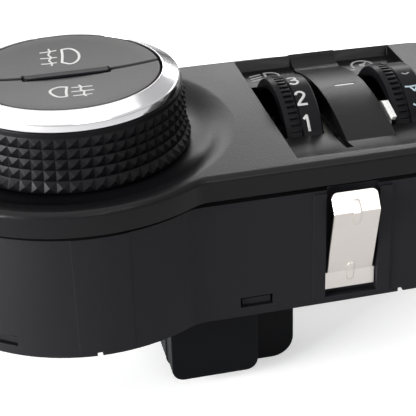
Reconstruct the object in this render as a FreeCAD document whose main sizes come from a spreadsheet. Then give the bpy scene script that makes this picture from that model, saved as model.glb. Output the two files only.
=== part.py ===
import FreeCAD, Part
import Sketcher
import math
import os

# Dashboard light switch: a rotary knob with two push buttons in its top, two thumbwheels in a
# long bezel, a deep housing held by two bent spring clips, and a plug socket underneath.
# The origin is on the knob's axis in the plane where the bezel rests on the dashboard.
# +Z points at the user, +X runs along the panel from the knob to the wheels.

doc = FreeCAD.newDocument("headlight_switch")
sheet = doc.addObject("Spreadsheet::Sheet", "Sizes")

# Driving sizes in millimetres, with what each one measures
drivingSizes = {
    "lobe_radius": (34.3, "round end of the bezel, concentric with the knob"),
    "front_ratio": (0.8163, "bezel's front edge to the knob axis, over the lobe's radius"),
    "back_ratio": (0.7376, "bezel's far edge to the knob axis, over the lobe's radius"),
    "bezel_end": (85.5, "knob axis to the bezel's right end"),
    "end_corner": (7.0, "corner radius of the right end"),
    "front_bow": (2083.0, "radius of the front edge's slight bow"),
    "back_bow": (1140.0, "radius of the far edge's slight bow"),
    "neck_round": (6.0, "round between the lobe and the straight edges"),
    "deck_top": (4.9, "height of the bezel's top above the dashboard"),
    "deck_under": (0.9, "underside of the bezel's plate"),
    "edge_round": (1.2, "round along the bezel's top edge"),
    "rim_wall": (1.0, "thickness of the bezel's hanging rim on the straight edges"),
    "lobe_rim_wall": (1.7, "thickness of the hanging rim round the lobe"),
    "shell_gap": (0.15, "clearance between pieces that are pushed into each other"),
    "housing_lip": (0.7, "how far the housing reaches up into the rim"),
    "housing_depth": (26.9, "rest plane to the housing's lower edge"),
    "housing_wall": (2.2, "thickness of the housing's wall"),
    "knob_hole": (20.6, "radius of the bezel's hole for the knob's sleeve"),
    "bowl_floor": (2.6, "height of the flat ring under the grip"),
    "bowl_inner": (24.6, "inner radius of the bowl round the knob"),
    "bowl_margin": (1.7, "bezel's round end to where the bowl meets the deck"),
    "roll_ratio": (1.3, "radius of the roll onto the deck, over the bowl's own radius"),
    "trough_left": (39.2, "left wall of the first finger trough"),
    "trough_width": (12.4, "width of a finger trough"),
    "wheel_pitch": (22.5, "distance from one thumbwheel to the next"),
    "trough_margin": (3.0, "bezel's front edge to the troughs' front end"),
    "trough_back_margin": (1.7, "bezel's far edge to the troughs' far end"),
    "trough_floor": (2.5, "height of the trough's floor"),
    "scoop_length": (14.3, "troughs' front end to where the scoop ends in the floor"),
    "groove_width": (1.3, "groove between the scoop and the trough's right wall"),
    "groove_length": (11.5, "length of the groove"),
    "groove_depth": (0.9, "trough's floor down to the groove's"),
    "saddle_top": (6.2, "height of the saddle between the wheels"),
    "saddle_middle": (1.5, "where along Y the saddle is highest"),
    "saddle_radius": (50.0, "radius of the saddle's hump"),
    "hump_front": (8.6, "troughs' front end to the front foot of the hump"),
    "hump_back": (5.1, "troughs' far end to the far foot of the hump"),
    "saddle_dip": (7.5, "radius of the dips at both feet of the hump"),
    "pointer_place": (3.6, "first trough's right wall to the light slot"),
    "pointer_length": (4.2, "light slot in the saddle, along X"),
    "pointer_width": (0.5, "light slot in the saddle, along Y"),
    "wheel_radius": (14.8, "thumbwheel, over its ribs"),
    "wheel_width": (7.7, "thumbwheel, along its axle"),
    "wheel_centre": (1.6, "knob axis to the wheels' axle, along Y"),
    "wheel_depth": (5.7, "rest plane down to the wheels' axle"),
    "wheel_side_gap": (2.1, "trough wall to the wheel's left side"),
    "wheel_slot_gap": (0.3, "clearance between a wheel and the bezel's slot"),
    "digit_drop": (0.3, "how far the smooth band lies below the ribs"),
    "rib_count": (66, "ribs round a thumbwheel"),
    "rib_depth": (0.5, "depth of the gaps between a wheel's ribs"),
    "rib_lip": (1.0, "smooth lip left of the ribs"),
    "lip_slope": (0.4, "how far the lip falls towards the wheel's left side"),
    "rib_gap": (0.7, "width of the gap between two ribs"),
    "rib_band": (2.9, "width of the ribbed band with its chamfer"),
    "rim_inner": (12.4, "inside of the wheel's rim"),
    "web_place": (3.2, "wheel's left side to its web"),
    "web_thickness": (1.6, "wheel's web"),
    "hub_radius": (3.0, "wheel's hub"),
    "axle_radius": (1.5, "thumbwheel axle"),
    "press_gap": (0.01, "radial clearance of a pressed fit"),
    "running_gap": (0.05, "radial clearance of a running fit"),
    "star_radius": (4.4, "detent star on the levelling wheel"),
    "star_notch": (0.5, "radius of a notch in the detent star"),
    "level_step": (24.0, "angle between two places of the levelling wheel"),
    "cradle_gap": (0.3, "clearance between a wheel and the cradle's walls"),
    "cradle_wall": (1.1, "thickness of the cradle's walls"),
    "cradle_base": (2.0, "height of the cradle's base frame"),
    "cradle_top": (3.0, "rest plane down to the top of the cradle's walls"),
    "cradle_rim": (0.9, "frame round a wheel's opening in the cradle's base"),
    "cradle_open": (0.4, "clearance of a wheel in the cradle's base, along Y"),
    "cradle_reach": (6.4, "axle to the sides of the cradle's walls"),
    "pot_thickness": (3.4, "potentiometer, along the axle"),
    "pot_width": (10.4, "potentiometer, along Y"),
    "button_radius": (18.1, "the two half buttons, across the knob's top"),
    "button_top": (17.6, "height of the buttons' outer edge"),
    "button_dish": (1.0, "how far the buttons' tops are dished"),
    "button_flange": (1.5, "thickness of a button at its outer edge"),
    "button_split": (0.6, "gap between the two buttons"),
    "skirt_radius": (15.2, "outside of a button's skirt"),
    "skirt_wall": (1.3, "thickness of a button's skirt"),
    "skirt_flat": (4.0, "knob axis to the skirt's flat side"),
    "skirt_foot": (8.0, "height of the skirt's lower edge"),
    "ring_gap": (0.5, "gap round the buttons"),
    "ring_top": (17.8, "height of the bright ring's inner edge"),
    "ring_radius": (22.0, "bright ring, at its lower edge"),
    "ring_shoulder": (21.8, "bright ring, at its shoulder"),
    "shoulder_height": (16.3, "height of the bright ring's shoulder"),
    "ring_bottom": (14.6, "height of the bright ring's lower edge"),
    "ring_wall": (1.7, "thickness of the bright ring"),
    "band_radius": (22.3, "plain band at the grip's top"),
    "point_radius": (22.85, "grip, over the upper points of its knurl"),
    "foot_point_radius": (23.65, "grip, over the lowest points of its knurl"),
    "knurl_depth": (0.6, "depth of the knurl"),
    "knurl_top": (13.65, "height of the knurl's upper edge"),
    "knurl_foot": (3.3, "height of the knurl's lower edge"),
    "knurl_rows": (5, "rows of points in the knurl"),
    "knurl_points": (62, "points in one row of the knurl"),
    "grip_foot": (3.0, "height of the grip's lower edge"),
    "sleeve_outer": (20.0, "knob sleeve, outside"),
    "sleeve_bore": (17.25, "knob sleeve, inside"),
    "sleeve_top": (14.4, "height of the sleeve's upper end"),
    "sleeve_foot": (8.0, "rest plane down to the sleeve's lower end"),
    "flange_radius": (22.3, "flange that keeps the knob under the bezel"),
    "flange_gap": (0.3, "bezel's underside down to the flange"),
    "flange_thickness": (1.8, "thickness of the flange"),
    "detent_radius": (21.7, "detent ring, over its crests"),
    "detent_notch": (1.3, "radius of a detent notch"),
    "detent_step": (30.0, "angle between two places of the knob"),
    "detent_middle": (5.2, "rest plane down to the middle of the detent ring"),
    "detent_width": (3.6, "height of the detent ring"),
    "leaf_sheet": (0.4, "sheet thickness of the detent leaves"),
    "leaf_place": (2.5, "detent ring's crests to the back of the leaf"),
    "leaf_reach": (9.5, "half length of the knob's detent leaf"),
    "post_bore": (15.4, "inside of the fixed post"),
    "post_top": (14.8, "height of the fixed post's rim"),
    "post_web": (1.6, "thickness of the web across the post"),
    "post_boss": (3.2, "boss round the light guide in the post"),
    "guide_radius": (2.0, "round light guide under the divider bar"),
    "bar_length": (16.6, "divider bar, along X"),
    "bar_width": (2.2, "divider bar, along Y"),
    "bar_top": (17.05, "height of the divider bar's top"),
    "board_top": (13.0, "rest plane down to the circuit board's top"),
    "board_thickness": (1.6, "circuit board"),
    "board_gap": (0.3, "clearance between the board and the housing"),
    "lamp_height": (0.9, "height of a lamp on the board"),
    "rod_place": (9.0, "knob axis to a button's push rod"),
    "rod_radius": (1.8, "push rod"),
    "rod_head": (2.9, "head of a push rod"),
    "dome_height": (2.1, "rubber dome under a push rod"),
    "dome_radius": (3.2, "rubber dome, at its foot"),
    "dome_gap": (0.1, "clearance between a rod and its dome"),
    "boss_radius": (3.0, "bosses that the board is screwed to"),
    "boss_height": (8.0, "height of the bosses above the board"),
    "boss_bore": (5.2, "depth of a boss's bore"),
    "boss_wall": (2.25, "housing's round wall to the middle of a boss"),
    "boss_turn": (150.0, "turn of both bosses in the lobe"),
    "boss_end": (5.5, "bezel's right end to the right pair of bosses"),
    "boss_back": (10.0, "knob axis to the far boss at the right end"),
    "boss_front": (13.0, "knob axis to the front boss at the right end"),
    "screw_radius": (1.1, "screw shank"),
    "head_radius": (2.1, "screw head"),
    "head_height": (1.3, "height of a screw head"),
    "ear_thickness": (2.2, "ears that hold the bezel's screws"),
    "ear_width": (6.0, "an ear, along X"),
    "ear_reach": (3.2, "an ear's screw to its free end"),
    "screw_column": (31.0, "knob axis to the left pair of bezel screws"),
    "screw_margin": (7.0, "bezel's long edges to the left pair of screws"),
    "end_column": (8.5, "bezel's right end to the right pair of bezel screws"),
    "end_margin": (9.0, "bezel's long edges to the right pair of screws"),
    "socket_left": (14.2, "knob axis to the socket's left side"),
    "socket_width": (27.5, "socket, along X"),
    "socket_front": (13.5, "knob axis to the socket's front wall"),
    "socket_depth": (16.0, "socket, along Y"),
    "socket_foot": (47.6, "rest plane down to the socket's mouth"),
    "socket_corner": (4.6, "corner radius of the socket's mouth end"),
    "socket_wall": (1.6, "wall of the socket"),
    "socket_drop": (0.6, "housing's lower edge to the floor that carries the pins"),
    "socket_floor": (3.0, "thickness of the floor that carries the pins"),
    "neck_left": (16.0, "knob axis to the left side of the socket's neck"),
    "neck_right": (39.3, "knob axis to the right side of the socket's neck"),
    "latch_left": (14.4, "knob axis to the latch channel's left side"),
    "latch_width": (18.1, "latch channel in front of the socket, along X"),
    "latch_depth": (5.5, "latch channel, along Y"),
    "latch_foot": (45.8, "rest plane down to the latch channel's mouth"),
    "latch_corner": (2.5, "corner radius of the latch channel's mouth end"),
    "pin_width": (0.8, "a socket pin"),
    "pin_pitch": (2.6, "distance between two pins"),
    "pin_rows": (5.0, "distance between the two rows of pins"),
    "pin_count": (8, "pins in a row"),
    "pin_back": (6.4, "socket's mouth up to the tips of the pins"),
    "cover_thickness": (1.6, "rear cover"),
    "tongue_wall": (1.4, "thickness of the rear cover's tongues"),
    "tongue_play": (0.8, "a snap window's width over its tongue's"),
    "nose_reach": (1.7, "how far a tongue's nose stands out"),
    "nose_root": (0.5, "how deep a nose sits in its tongue"),
    "field_rise": (0.13, "how far the raised fields stand out of the housing"),
    "field_top": (2.1, "rest plane down to the top of the field round a clip"),
    "field_side": (2.55, "clip's recess to the side of the raised field round it"),
    "field_start": (-9.3, "left side of the lobe's raised field, turned from the front"),
    "field_end": (9.4, "right side of the lobe's raised field, turned from the front"),
    "edge_notch": (0.8, "height of the small notches in the housing's lower edge"),
    "clip_middle": (49.5, "knob axis to the middle of the spring clips"),
    "clip_width": (9.2, "spring clip"),
    "clip_sheet": (0.5, "sheet thickness of a spring clip"),
    "clip_bend": (5.6, "rest plane down to the clip's outer bend"),
    "clip_reach": (2.8, "how far the clip stands out of the housing"),
    "clip_top": (2.3, "rest plane down to the clip's free end"),
    "clip_return": (0.05, "housing to the clip's free end"),
    "clip_foot": (24.2, "rest plane down to the clip's foot"),
    "clip_tab": (3.8, "height of the clip's flat tab"),
    "tab_width": (10.2, "the clip's flat tab, along X"),
    "recess_width": (10.6, "recess that holds a clip"),
    "recess_depth": (1.4, "depth of the recess"),
    "recess_foot": (25.3, "rest plane down to the recess's lower end"),
    "window_width": (6.5, "snap window"),
    "window_height": (2.2, "snap window"),
    "window_foot": (24.9, "rest plane down to a snap window's lower edge"),
    "window_left": (30.4, "knob axis to the middle of the left pair of windows"),
    "window_right": (71.0, "knob axis to the middle of the right pair of windows"),
    "window_turn": (36.0, "the lobe's windows, turned from the front and far side"),
}

# Sizes that follow from others
derivedSizes = {
    "bezel_front": ("lobe_radius * front_ratio", "knob axis to the bezel's front edge"),
    "bezel_back": ("lobe_radius * back_ratio", "knob axis to the bezel's far edge"),
    "bowl_outer": ("lobe_radius - bowl_margin", "radius where the bowl meets the deck"),
    "trough_front": ("bezel_front - trough_margin", "knob axis to the troughs' front end"),
    "trough_back": ("bezel_back - trough_back_margin", "knob axis to the troughs' far end"),
    "scoop_foot": ("trough_front - scoop_length", "knob axis to the foot of the scoop"),
    "saddle_front": ("trough_front - hump_front", "knob axis to the front foot of the hump"),
    "saddle_back": ("trough_back - hump_back", "knob axis to the far foot of the hump"),
}

lines = [(alias, str(number), note) for alias, (number, note) in drivingSizes.items()]
lines += [(alias, f"={formula}", note) for alias, (formula, note) in derivedSizes.items()]
for row, (alias, content, note) in enumerate(lines, start=1):
    sheet.set(f"A{row}", alias)
    sheet.set(f"B{row}", content)
    sheet.setAlias(f"B{row}", alias)
    sheet.set(f"C{row}", note)
doc.recompute()


class Length:
    """A size that keeps its number and the formula that gives it."""

    def __init__(self, number, formula):
        self.number = float(number)
        self.formula = formula

    def __add__(self, other):
        other = asLength(other)
        return Length(self.number + other.number, f"({self.formula} + {other.formula})")

    def __sub__(self, other):
        other = asLength(other)
        return Length(self.number - other.number, f"({self.formula} - {other.formula})")

    def __mul__(self, other):
        other = asLength(other)
        return Length(self.number * other.number, f"({self.formula} * {other.formula})")

    def __truediv__(self, other):
        other = asLength(other)
        return Length(self.number / other.number, f"({self.formula} / {other.formula})")

    def __neg__(self):
        return Length(-self.number, f"(0 - {self.formula})")

    __radd__ = __add__
    __rmul__ = __mul__

    def __rsub__(self, other):
        return asLength(other) - self


def asLength(value):
    if isinstance(value, Length):
        return value
    return Length(value, f"{value:.6g}" if value >= 0 else f"(0 - {-value:.6g})")


def root(length):
    return Length(math.sqrt(length.number), f"sqrt({length.formula})")


def read(alias):
    return Length(sheet.get(alias), f"Sizes.{alias}")


def bind(thing, prop, value):
    """Ties a property to its formula, or sets it where it is a plain number."""
    if isinstance(value, Length):
        thing.setExpression(prop, value.formula)
    elif "." not in prop:
        setattr(thing, prop, value)
    else:
        thing.setExpression(prop, f"{value:.6g}")


class Drawing:
    """A sketch on one of a body's own planes, raised along the plane's normal."""

    def __init__(self, body, name, plane="XY_Plane", raised=0):
        self.sketch = body.newObject("Sketcher::SketchObject", name)
        origin = [f for f in body.Origin.OriginFeatures if f.Role == plane][0]
        self.sketch.AttachmentSupport = [(origin, "")]
        self.sketch.MapMode = "FlatFace"
        raised = asLength(raised)
        self.sketch.AttachmentOffset = FreeCAD.Placement(
            FreeCAD.Vector(0, 0, raised.number), FreeCAD.Rotation())
        self.sketch.setExpression("AttachmentOffset.Base.z", raised.formula)
        self.count = 0

    def datum(self, kind, value, *geometry):
        """One size in the sketch, bound to the sheet."""
        value = asLength(value)
        index = self.sketch.addConstraint(Sketcher.Constraint(kind, *geometry, value.number))
        self.count += 1
        name = f"size{self.count}"
        self.sketch.renameConstraint(index, name)
        self.sketch.setExpression(f"Constraints.{name}", value.formula)

    def fix(self, geo, end, x, y):
        """Holds one point of the sketch at its place."""
        for kind, axis, value in (("DistanceX", -2, x), ("DistanceY", -1, y)):
            value = asLength(value)
            if value.formula == "0":
                self.sketch.addConstraint(Sketcher.Constraint("PointOnObject", geo, end, axis))
            else:
                self.datum(kind, value, -1, 1, geo, end)

    def circle(self, radius, x=0, y=0):
        radius = asLength(radius)
        centre = FreeCAD.Vector(asLength(x).number, asLength(y).number, 0)
        geo = self.sketch.addGeometry(
            Part.Circle(centre, FreeCAD.Vector(0, 0, 1), radius.number), False)
        self.fix(geo, 3, x, y)
        self.datum("Radius", radius, geo)
        return self.sketch

    def outline(self, *points):
        """A closed outline. A point with a third value is reached by an arc of that radius,
        which turns left where the value is positive and right where it is negative."""
        corners = [[asLength(value) for value in point] for point in points]
        first = None
        before = None
        for place, corner in enumerate(corners):
            after = corners[(place + 1) % len(corners)]
            start = FreeCAD.Vector(corner[0].number, corner[1].number, 0)
            end = FreeCAD.Vector(after[0].number, after[1].number, 0)
            if len(after) == 3:
                curve = self.arc(start, end, after[2].number)
            else:
                curve = Part.LineSegment(start, end)
            geo = self.sketch.addGeometry(curve, False)
            turnsRight = len(after) == 3 and after[2].number < 0
            head, tail = (2, 1) if turnsRight else (1, 2)
            self.fix(geo, head, corner[0], corner[1])
            if len(after) == 3:
                radius = -after[2] if turnsRight else after[2]
                self.datum("Radius", radius, geo)
            if before is not None:
                self.sketch.addConstraint(
                    Sketcher.Constraint("Coincident", before[0], before[1], geo, head))
            else:
                first = (geo, head)
            before = (geo, tail)
        self.sketch.addConstraint(Sketcher.Constraint("Coincident", *before, *first))
        return self.sketch

    def arc(self, start, end, radius):
        """The short arc between two points, as an arc that always runs left."""
        chord = end - start
        half = chord.Length / 2
        rise = math.sqrt(radius * radius - half * half)
        side = FreeCAD.Vector(-chord.y, chord.x, 0).normalize()
        centre = start + chord * 0.5 + side * (rise if radius > 0 else -rise)
        circle = Part.Circle(centre, FreeCAD.Vector(0, 0, 1), abs(radius))
        begin, finish = (start, end) if radius > 0 else (end, start)
        return Part.ArcOfCircle(circle, circle.parameter(begin), circle.parameter(finish))

    def rectangle(self, left, right, low, high):
        return self.outline((left, low), (right, low), (right, high), (left, high))


def newBody(label):
    body = doc.addObject("PartDesign::Body", label)
    body.Label = label
    return body


def place(body, x=0, y=0, z=0, rotation=None):
    """Puts a body at a place of the sheet's sizes."""
    x, y, z = asLength(x), asLength(y), asLength(z)
    body.Placement = FreeCAD.Placement(
        FreeCAD.Vector(x.number, y.number, z.number), rotation or FreeCAD.Rotation())
    for axis, value in (("x", x), ("y", y), ("z", z)):
        body.setExpression(f"Placement.Base.{axis}", value.formula)


def feature(body, kind, name, sketch, length=None, reverse=False, through=False):
    made = body.newObject(f"PartDesign::{kind}", name)
    made.Profile = sketch
    if through:
        made.Type = 1
    elif length is not None:
        bind(made, "Length", asLength(length))
    made.Reversed = reverse
    sketch.Visibility = False
    return made


def pad(body, name, sketch, length, reverse=False):
    return feature(body, "Pad", name, sketch, length, reverse)


def pocket(body, name, sketch, length=None, reverse=False):
    return feature(body, "Pocket", name, sketch, length, reverse, through=length is None)


def turned(body, kind, name, sketch, axis="V_Axis"):
    made = body.newObject(f"PartDesign::{kind}", name)
    made.Profile = sketch
    made.ReferenceAxis = (sketch, [axis])
    made.Angle = 360
    return made


def around(body, name, original, sketch, count):
    """Copies a feature in a full circle about the sketch's normal."""
    made = body.newObject("PartDesign::PolarPattern", name)
    made.Originals = [original]
    made.Axis = (sketch, ["N_Axis"])
    made.Angle = 360
    bind(made, "Occurrences", count)
    body.Tip = made
    return made


def along(body, name, original, sketch, axis, step, count):
    """Copies a feature in a row."""
    made = body.newObject("PartDesign::LinearPattern", name)
    made.Originals = [original]
    made.Direction = (sketch, [axis])
    bind(made, "Length", step * (asLength(count) - 1))
    bind(made, "Occurrences", asLength(count))
    body.Tip = made
    return made


def rounded(body, name, radius, wanted):
    """Rounds the edges of the body so far that the test picks."""
    doc.recompute()
    base = body.Tip
    names = [f"Edge{number}" for number, edge in enumerate(base.Shape.Edges, start=1) if wanted(edge)]
    made = body.newObject("PartDesign::Fillet", name)
    made.Base = (base, names)
    bind(made, "Radius", radius)
    return made


def between(edge, x=None, y=None, z=None, slack=0.02):
    """True where the whole edge lies inside the given limits."""
    box = edge.BoundBox
    limits = ((x, box.XMin, box.XMax), (y, box.YMin, box.YMax), (z, box.ZMin, box.ZMax))
    return all(wanted is None or (low >= wanted[0] - slack and high <= wanted[1] + slack)
               for wanted, low, high in limits)


s = {alias: read(alias) for alias in (*drivingSizes, *derivedSizes)}


def panelSide(edge, bow, lobe, corner, neck, end):
    """The tangent points of one long side: on the lobe, where the neck's round ends, where the
    end's corner begins and where it ends."""
    reach = lobe + neck
    neckX = root(reach * reach - (edge + neck) * (edge + neck))
    run = end - corner - neckX
    bowMiddle = edge - bow
    drop = root((bow - corner) * (bow - corner) - run * run)
    share = bow / (bow - corner)
    return (
        (neckX * lobe / reach, (edge + neck) * lobe / reach),
        (neckX, edge),
        (neckX + run * share, bowMiddle + drop * share),
        (end, bowMiddle + drop))


def panelOutline(drawing, inset, lobeInset):
    """The panel seen from above, drawn in by the insets: the round lobe runs through a soft
    neck into two slightly bowed edges and a rounded right end."""
    lobe = s["lobe_radius"] - lobeInset
    corner = s["end_corner"] - inset
    neck = s["neck_round"] + inset
    end = s["bezel_end"] - inset
    front = panelSide(s["bezel_front"] - inset, s["front_bow"] - inset, lobe, corner, neck, end)
    back = panelSide(s["bezel_back"] - inset, s["back_bow"] - inset, lobe, corner, neck, end)
    return drawing.outline(
        (front[0][0], -front[0][1], lobe),
        (front[1][0], -front[1][1], -neck),
        (front[2][0], -front[2][1], s["front_bow"] - inset),
        (front[3][0], -front[3][1], corner),
        (back[3][0], back[3][1]),
        (back[2][0], back[2][1], corner),
        (back[1][0], back[1][1], s["back_bow"] - inset),
        (back[0][0], back[0][1], -neck),
        (-lobe, 0, lobe))


def panelPad(body, name, inset, lobeInset, low, height):
    """A plate or block with the panel's whole outline."""
    sketch = panelOutline(Drawing(body, f"{name}Sketch", raised=low), inset, lobeInset)
    return pad(body, name, sketch, height)


def panelPocket(body, name, inset, lobeInset, low, height):
    """A hollow with the panel's whole outline, cut upwards from its low side."""
    sketch = panelOutline(Drawing(body, f"{name}Sketch", raised=low), inset, lobeInset)
    return pocket(body, name, sketch, height, reverse=True)


def block(body, name, x, y, z):
    """A box between two places on each axis."""
    sketch = Drawing(body, f"{name}Sketch", raised=z[0]).rectangle(*x, *y)
    return pad(body, name, sketch, asLength(z[1]) - z[0])


def blockCut(body, name, x, y, z):
    """A box taken away between two places on each axis."""
    sketch = Drawing(body, f"{name}Sketch", raised=z[0]).rectangle(*x, *y)
    return pocket(body, name, sketch, asLength(z[1]) - z[0], reverse=True)


def discs(body, name, radius, z, *places):
    """Upright cylinders of one size, one at the origin where no places are given."""
    drawing = Drawing(body, f"{name}Sketch", raised=z[0])
    for x, y in places or ((0, 0),):
        drawing.circle(radius, x, y)
    return pad(body, name, drawing.sketch, asLength(z[1]) - z[0])


def bores(body, name, radius, z, *places):
    """Upright bores of one size, one at the origin where no places are given."""
    drawing = Drawing(body, f"{name}Sketch", raised=z[0])
    for x, y in places or ((0, 0),):
        drawing.circle(radius, x, y)
    return pocket(body, name, drawing.sketch, asLength(z[1]) - z[0], reverse=True)


def sine(angle):
    angle = asLength(angle)
    return Length(math.sin(math.radians(angle.number)), f"sin({angle.formula})")


def cosine(angle):
    angle = asLength(angle)
    return Length(math.cos(math.radians(angle.number)), f"cos({angle.formula})")


def span(middle, width):
    """The two ends of a width about its middle."""
    half = asLength(width) * 0.5
    return asLength(middle) - half, asLength(middle) + half


halfTurn = FreeCAD.Rotation(FreeCAD.Vector(0, 0, 1), 180)
alongAxle = FreeCAD.Rotation(FreeCAD.Vector(0, 1, 0), 90)

# Places that several pieces share
housingInset = s["rim_wall"] + s["shell_gap"]
housingLobeInset = s["lobe_rim_wall"] + s["shell_gap"]
innerInset = housingInset + s["housing_wall"]
innerLobeInset = housingLobeInset + s["housing_wall"]
innerLobe = s["lobe_radius"] - innerLobeInset
housingFront = s["bezel_front"] - housingInset
housingBack = s["bezel_back"] - housingInset
troughRight = s["trough_left"] + s["trough_width"]
secondTrough = s["trough_left"] + s["wheel_pitch"]
wheelLeft = s["trough_left"] + s["wheel_side_gap"]
wheelReach = s["wheel_radius"] + s["wheel_slot_gap"]
boardFoot = s["board_top"] + s["board_thickness"]
boardLevel = (-boardFoot, -s["board_top"])
postRadius = s["sleeve_bore"] - s["running_gap"]
guideFoot = s["lamp_height"] + s["dome_gap"] - s["board_top"]
flangeTop = s["deck_under"] - s["flange_gap"]
flangeFoot = flangeTop - s["flange_thickness"]
buttonFoot = s["button_top"] - s["button_flange"]
leafBack = s["detent_radius"] + s["leaf_place"]
cradleLeft = wheelLeft - s["cradle_gap"] - s["cradle_wall"]
cradleInner = (wheelLeft - s["cradle_gap"], wheelLeft + s["wheel_width"] + s["cradle_gap"])
cradleRight = cradleInner[1] + s["cradle_wall"]
wallSpan = span(s["wheel_centre"], s["cradle_reach"] * 2)
pointerLeft = troughRight + s["pointer_place"]
pointerFront = s["saddle_middle"] + 1.0
pointerMiddle = pointerFront + s["pointer_width"] * 0.5
pinLevel = s["pin_back"] - s["socket_foot"]
socketMiddle = s["socket_left"] + s["socket_width"] * 0.5
socketBack = s["socket_depth"] - s["socket_front"]
floorTop = -s["housing_depth"] - s["socket_drop"]
floorUnder = floorTop - s["socket_floor"]
neckX = (s["neck_left"], s["neck_right"])
neckY = (s["socket_wall"] - s["socket_front"], socketBack - s["socket_wall"])
earFoot = s["housing_lip"] - s["ear_thickness"]
endColumn = s["bezel_end"] - s["end_column"]
bezelScrews = (
    (s["screw_column"], s["bezel_back"] - s["screw_margin"]),
    (s["screw_column"], s["screw_margin"] - s["bezel_front"]),
    (endColumn, s["bezel_back"] - s["end_margin"]),
    (endColumn, s["end_margin"] - s["bezel_front"]))
bossCircle = innerLobe - s["boss_wall"]
bossX = bossCircle * cosine(s["boss_turn"])
bossY = bossCircle * sine(s["boss_turn"])
bossEnd = s["bezel_end"] - s["boss_end"]
boardScrews = ((bossX, bossY), (bossX, -bossY), (bossEnd, s["boss_back"]),
               (bossEnd, -s["boss_front"]))
rowMiddle = (neckY[0] + neckY[1]) * 0.5
pinRows = span(rowMiddle, s["pin_rows"])
firstPin = socketMiddle - s["pin_pitch"] * (s["pin_count"] - 1) * 0.5


def bowDrop(x, edge, bow):
    """How far a bowed edge has come in at a place along X."""
    reach = s["lobe_radius"] + s["neck_round"]
    start = root(reach * reach - (edge + s["neck_round"]) * (edge + s["neck_round"]))
    run = asLength(x) - start
    return bow - root(bow * bow - run * run)


def bezelPanel():
    body = newBody("bezel_panel")
    panelPad(body, "Plate", 0, 0, 0, s["deck_top"])
    top = s["deck_top"].number
    rounded(body, "TopEdge", s["edge_round"], lambda edge: between(edge, z=(top, top)))

    # The bowl round the knob: a flat ring, a hollow curve and a soft roll onto the deck
    floor = s["bowl_floor"]
    inner = s["bowl_inner"]
    outer = s["bowl_outer"]
    halfRun = (outer - inner) * 0.5
    halfRise = (s["deck_top"] - floor) * 0.5
    curve = (halfRise * halfRise + halfRun * halfRun) / (halfRise * 2)
    bowl = Drawing(body, "BowlSketch", "XZ_Plane").outline(
        (0, floor),
        (inner, floor),
        (inner + halfRun, floor + halfRise, curve),
        (outer, s["deck_top"], -curve * s["roll_ratio"]),
        (outer, s["deck_top"] + 1),
        (0, s["deck_top"] + 1))
    turned(body, "Groove", "Bowl", bowl)
    hole = Drawing(body, "KnobHoleSketch", raised=s["deck_top"]).circle(s["knob_hole"])
    pocket(body, "KnobHole", hole)

    # The finger troughs: a scoop in front, a steep wall at the far end
    rise = s["deck_top"] - s["trough_floor"]
    reach = s["trough_front"] - s["scoop_foot"]
    scoop = (reach * reach + rise * rise) / (rise * 2)
    trough = Drawing(body, "TroughSketch", "YZ_Plane", raised=s["trough_left"]).outline(
        (-s["trough_front"], s["deck_top"]),
        (-s["scoop_foot"], s["trough_floor"], scoop),
        (s["trough_back"] - 0.9, s["trough_floor"] + 0.2),
        (s["trough_back"], s["deck_top"]),
        (s["trough_back"], s["saddle_top"] + 1),
        (-s["trough_front"], s["saddle_top"] + 1))
    pocket(body, "Troughs", trough, s["wheel_pitch"] + s["trough_width"], reverse=True)

    # The saddle between the wheels, humped in the middle with a dip at both feet
    hump = s["saddle_radius"]
    frontFoot = s["saddle_front"] + s["saddle_middle"]
    backFoot = s["saddle_back"] - s["saddle_middle"]
    frontHeight = s["saddle_top"] - hump + root(hump * hump - frontFoot * frontFoot)
    backHeight = s["saddle_top"] - hump + root(hump * hump - backFoot * backFoot)
    dip = -s["saddle_dip"]
    saddle = Drawing(body, "SaddleSketch", "YZ_Plane", raised=troughRight).outline(
        (-s["trough_front"] - 0.3, s["deck_under"]),
        (s["trough_back"] + 0.3, s["deck_under"]),
        (s["trough_back"] + 0.3, s["deck_top"]),
        (s["saddle_back"] + 3.2, backHeight + 0.25),
        (s["saddle_back"], backHeight, dip),
        (-s["saddle_front"], frontHeight, hump),
        (-s["saddle_front"] - 5, frontHeight + 0.15, dip),
        (-s["trough_front"] - 0.3, s["deck_top"]))
    pad(body, "Saddle", saddle, secondTrough - troughRight)

    for number, left in enumerate((s["trough_left"], secondTrough)):
        slot = Drawing(body, f"WheelSlot{number}Sketch", "YZ_Plane", raised=left).circle(
            wheelReach, s["wheel_centre"], -s["wheel_depth"])
        pocket(body, f"WheelSlot{number}", slot, s["trough_width"], reverse=True)
        right = left + s["trough_width"]
        front = s["saddle_front"] + 4.0
        blockCut(body, f"Groove{number}", (right - s["groove_width"], right),
                 (-front, s["groove_length"] - front),
                 (s["trough_floor"] - s["groove_depth"], s["deck_top"] + 1))
    panelPocket(body, "Cavity", s["rim_wall"], s["lobe_rim_wall"], -1, s["deck_under"] + 1)
    blockCut(body, "UnderSaddle", (troughRight + 1.5, secondTrough - 1.5),
             span(s["wheel_centre"], 24.0), (-1, s["trough_floor"] + 0.1))
    slot = Drawing(body, "PointerSlotSketch", raised=s["saddle_top"]).rectangle(
        pointerLeft, pointerLeft + s["pointer_length"],
        pointerFront, pointerFront + s["pointer_width"])
    pocket(body, "PointerSlot", slot)
    bores(body, "ScrewHoles", s["screw_radius"] + s["running_gap"], (-1, 3.0), *bezelScrews)


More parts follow.
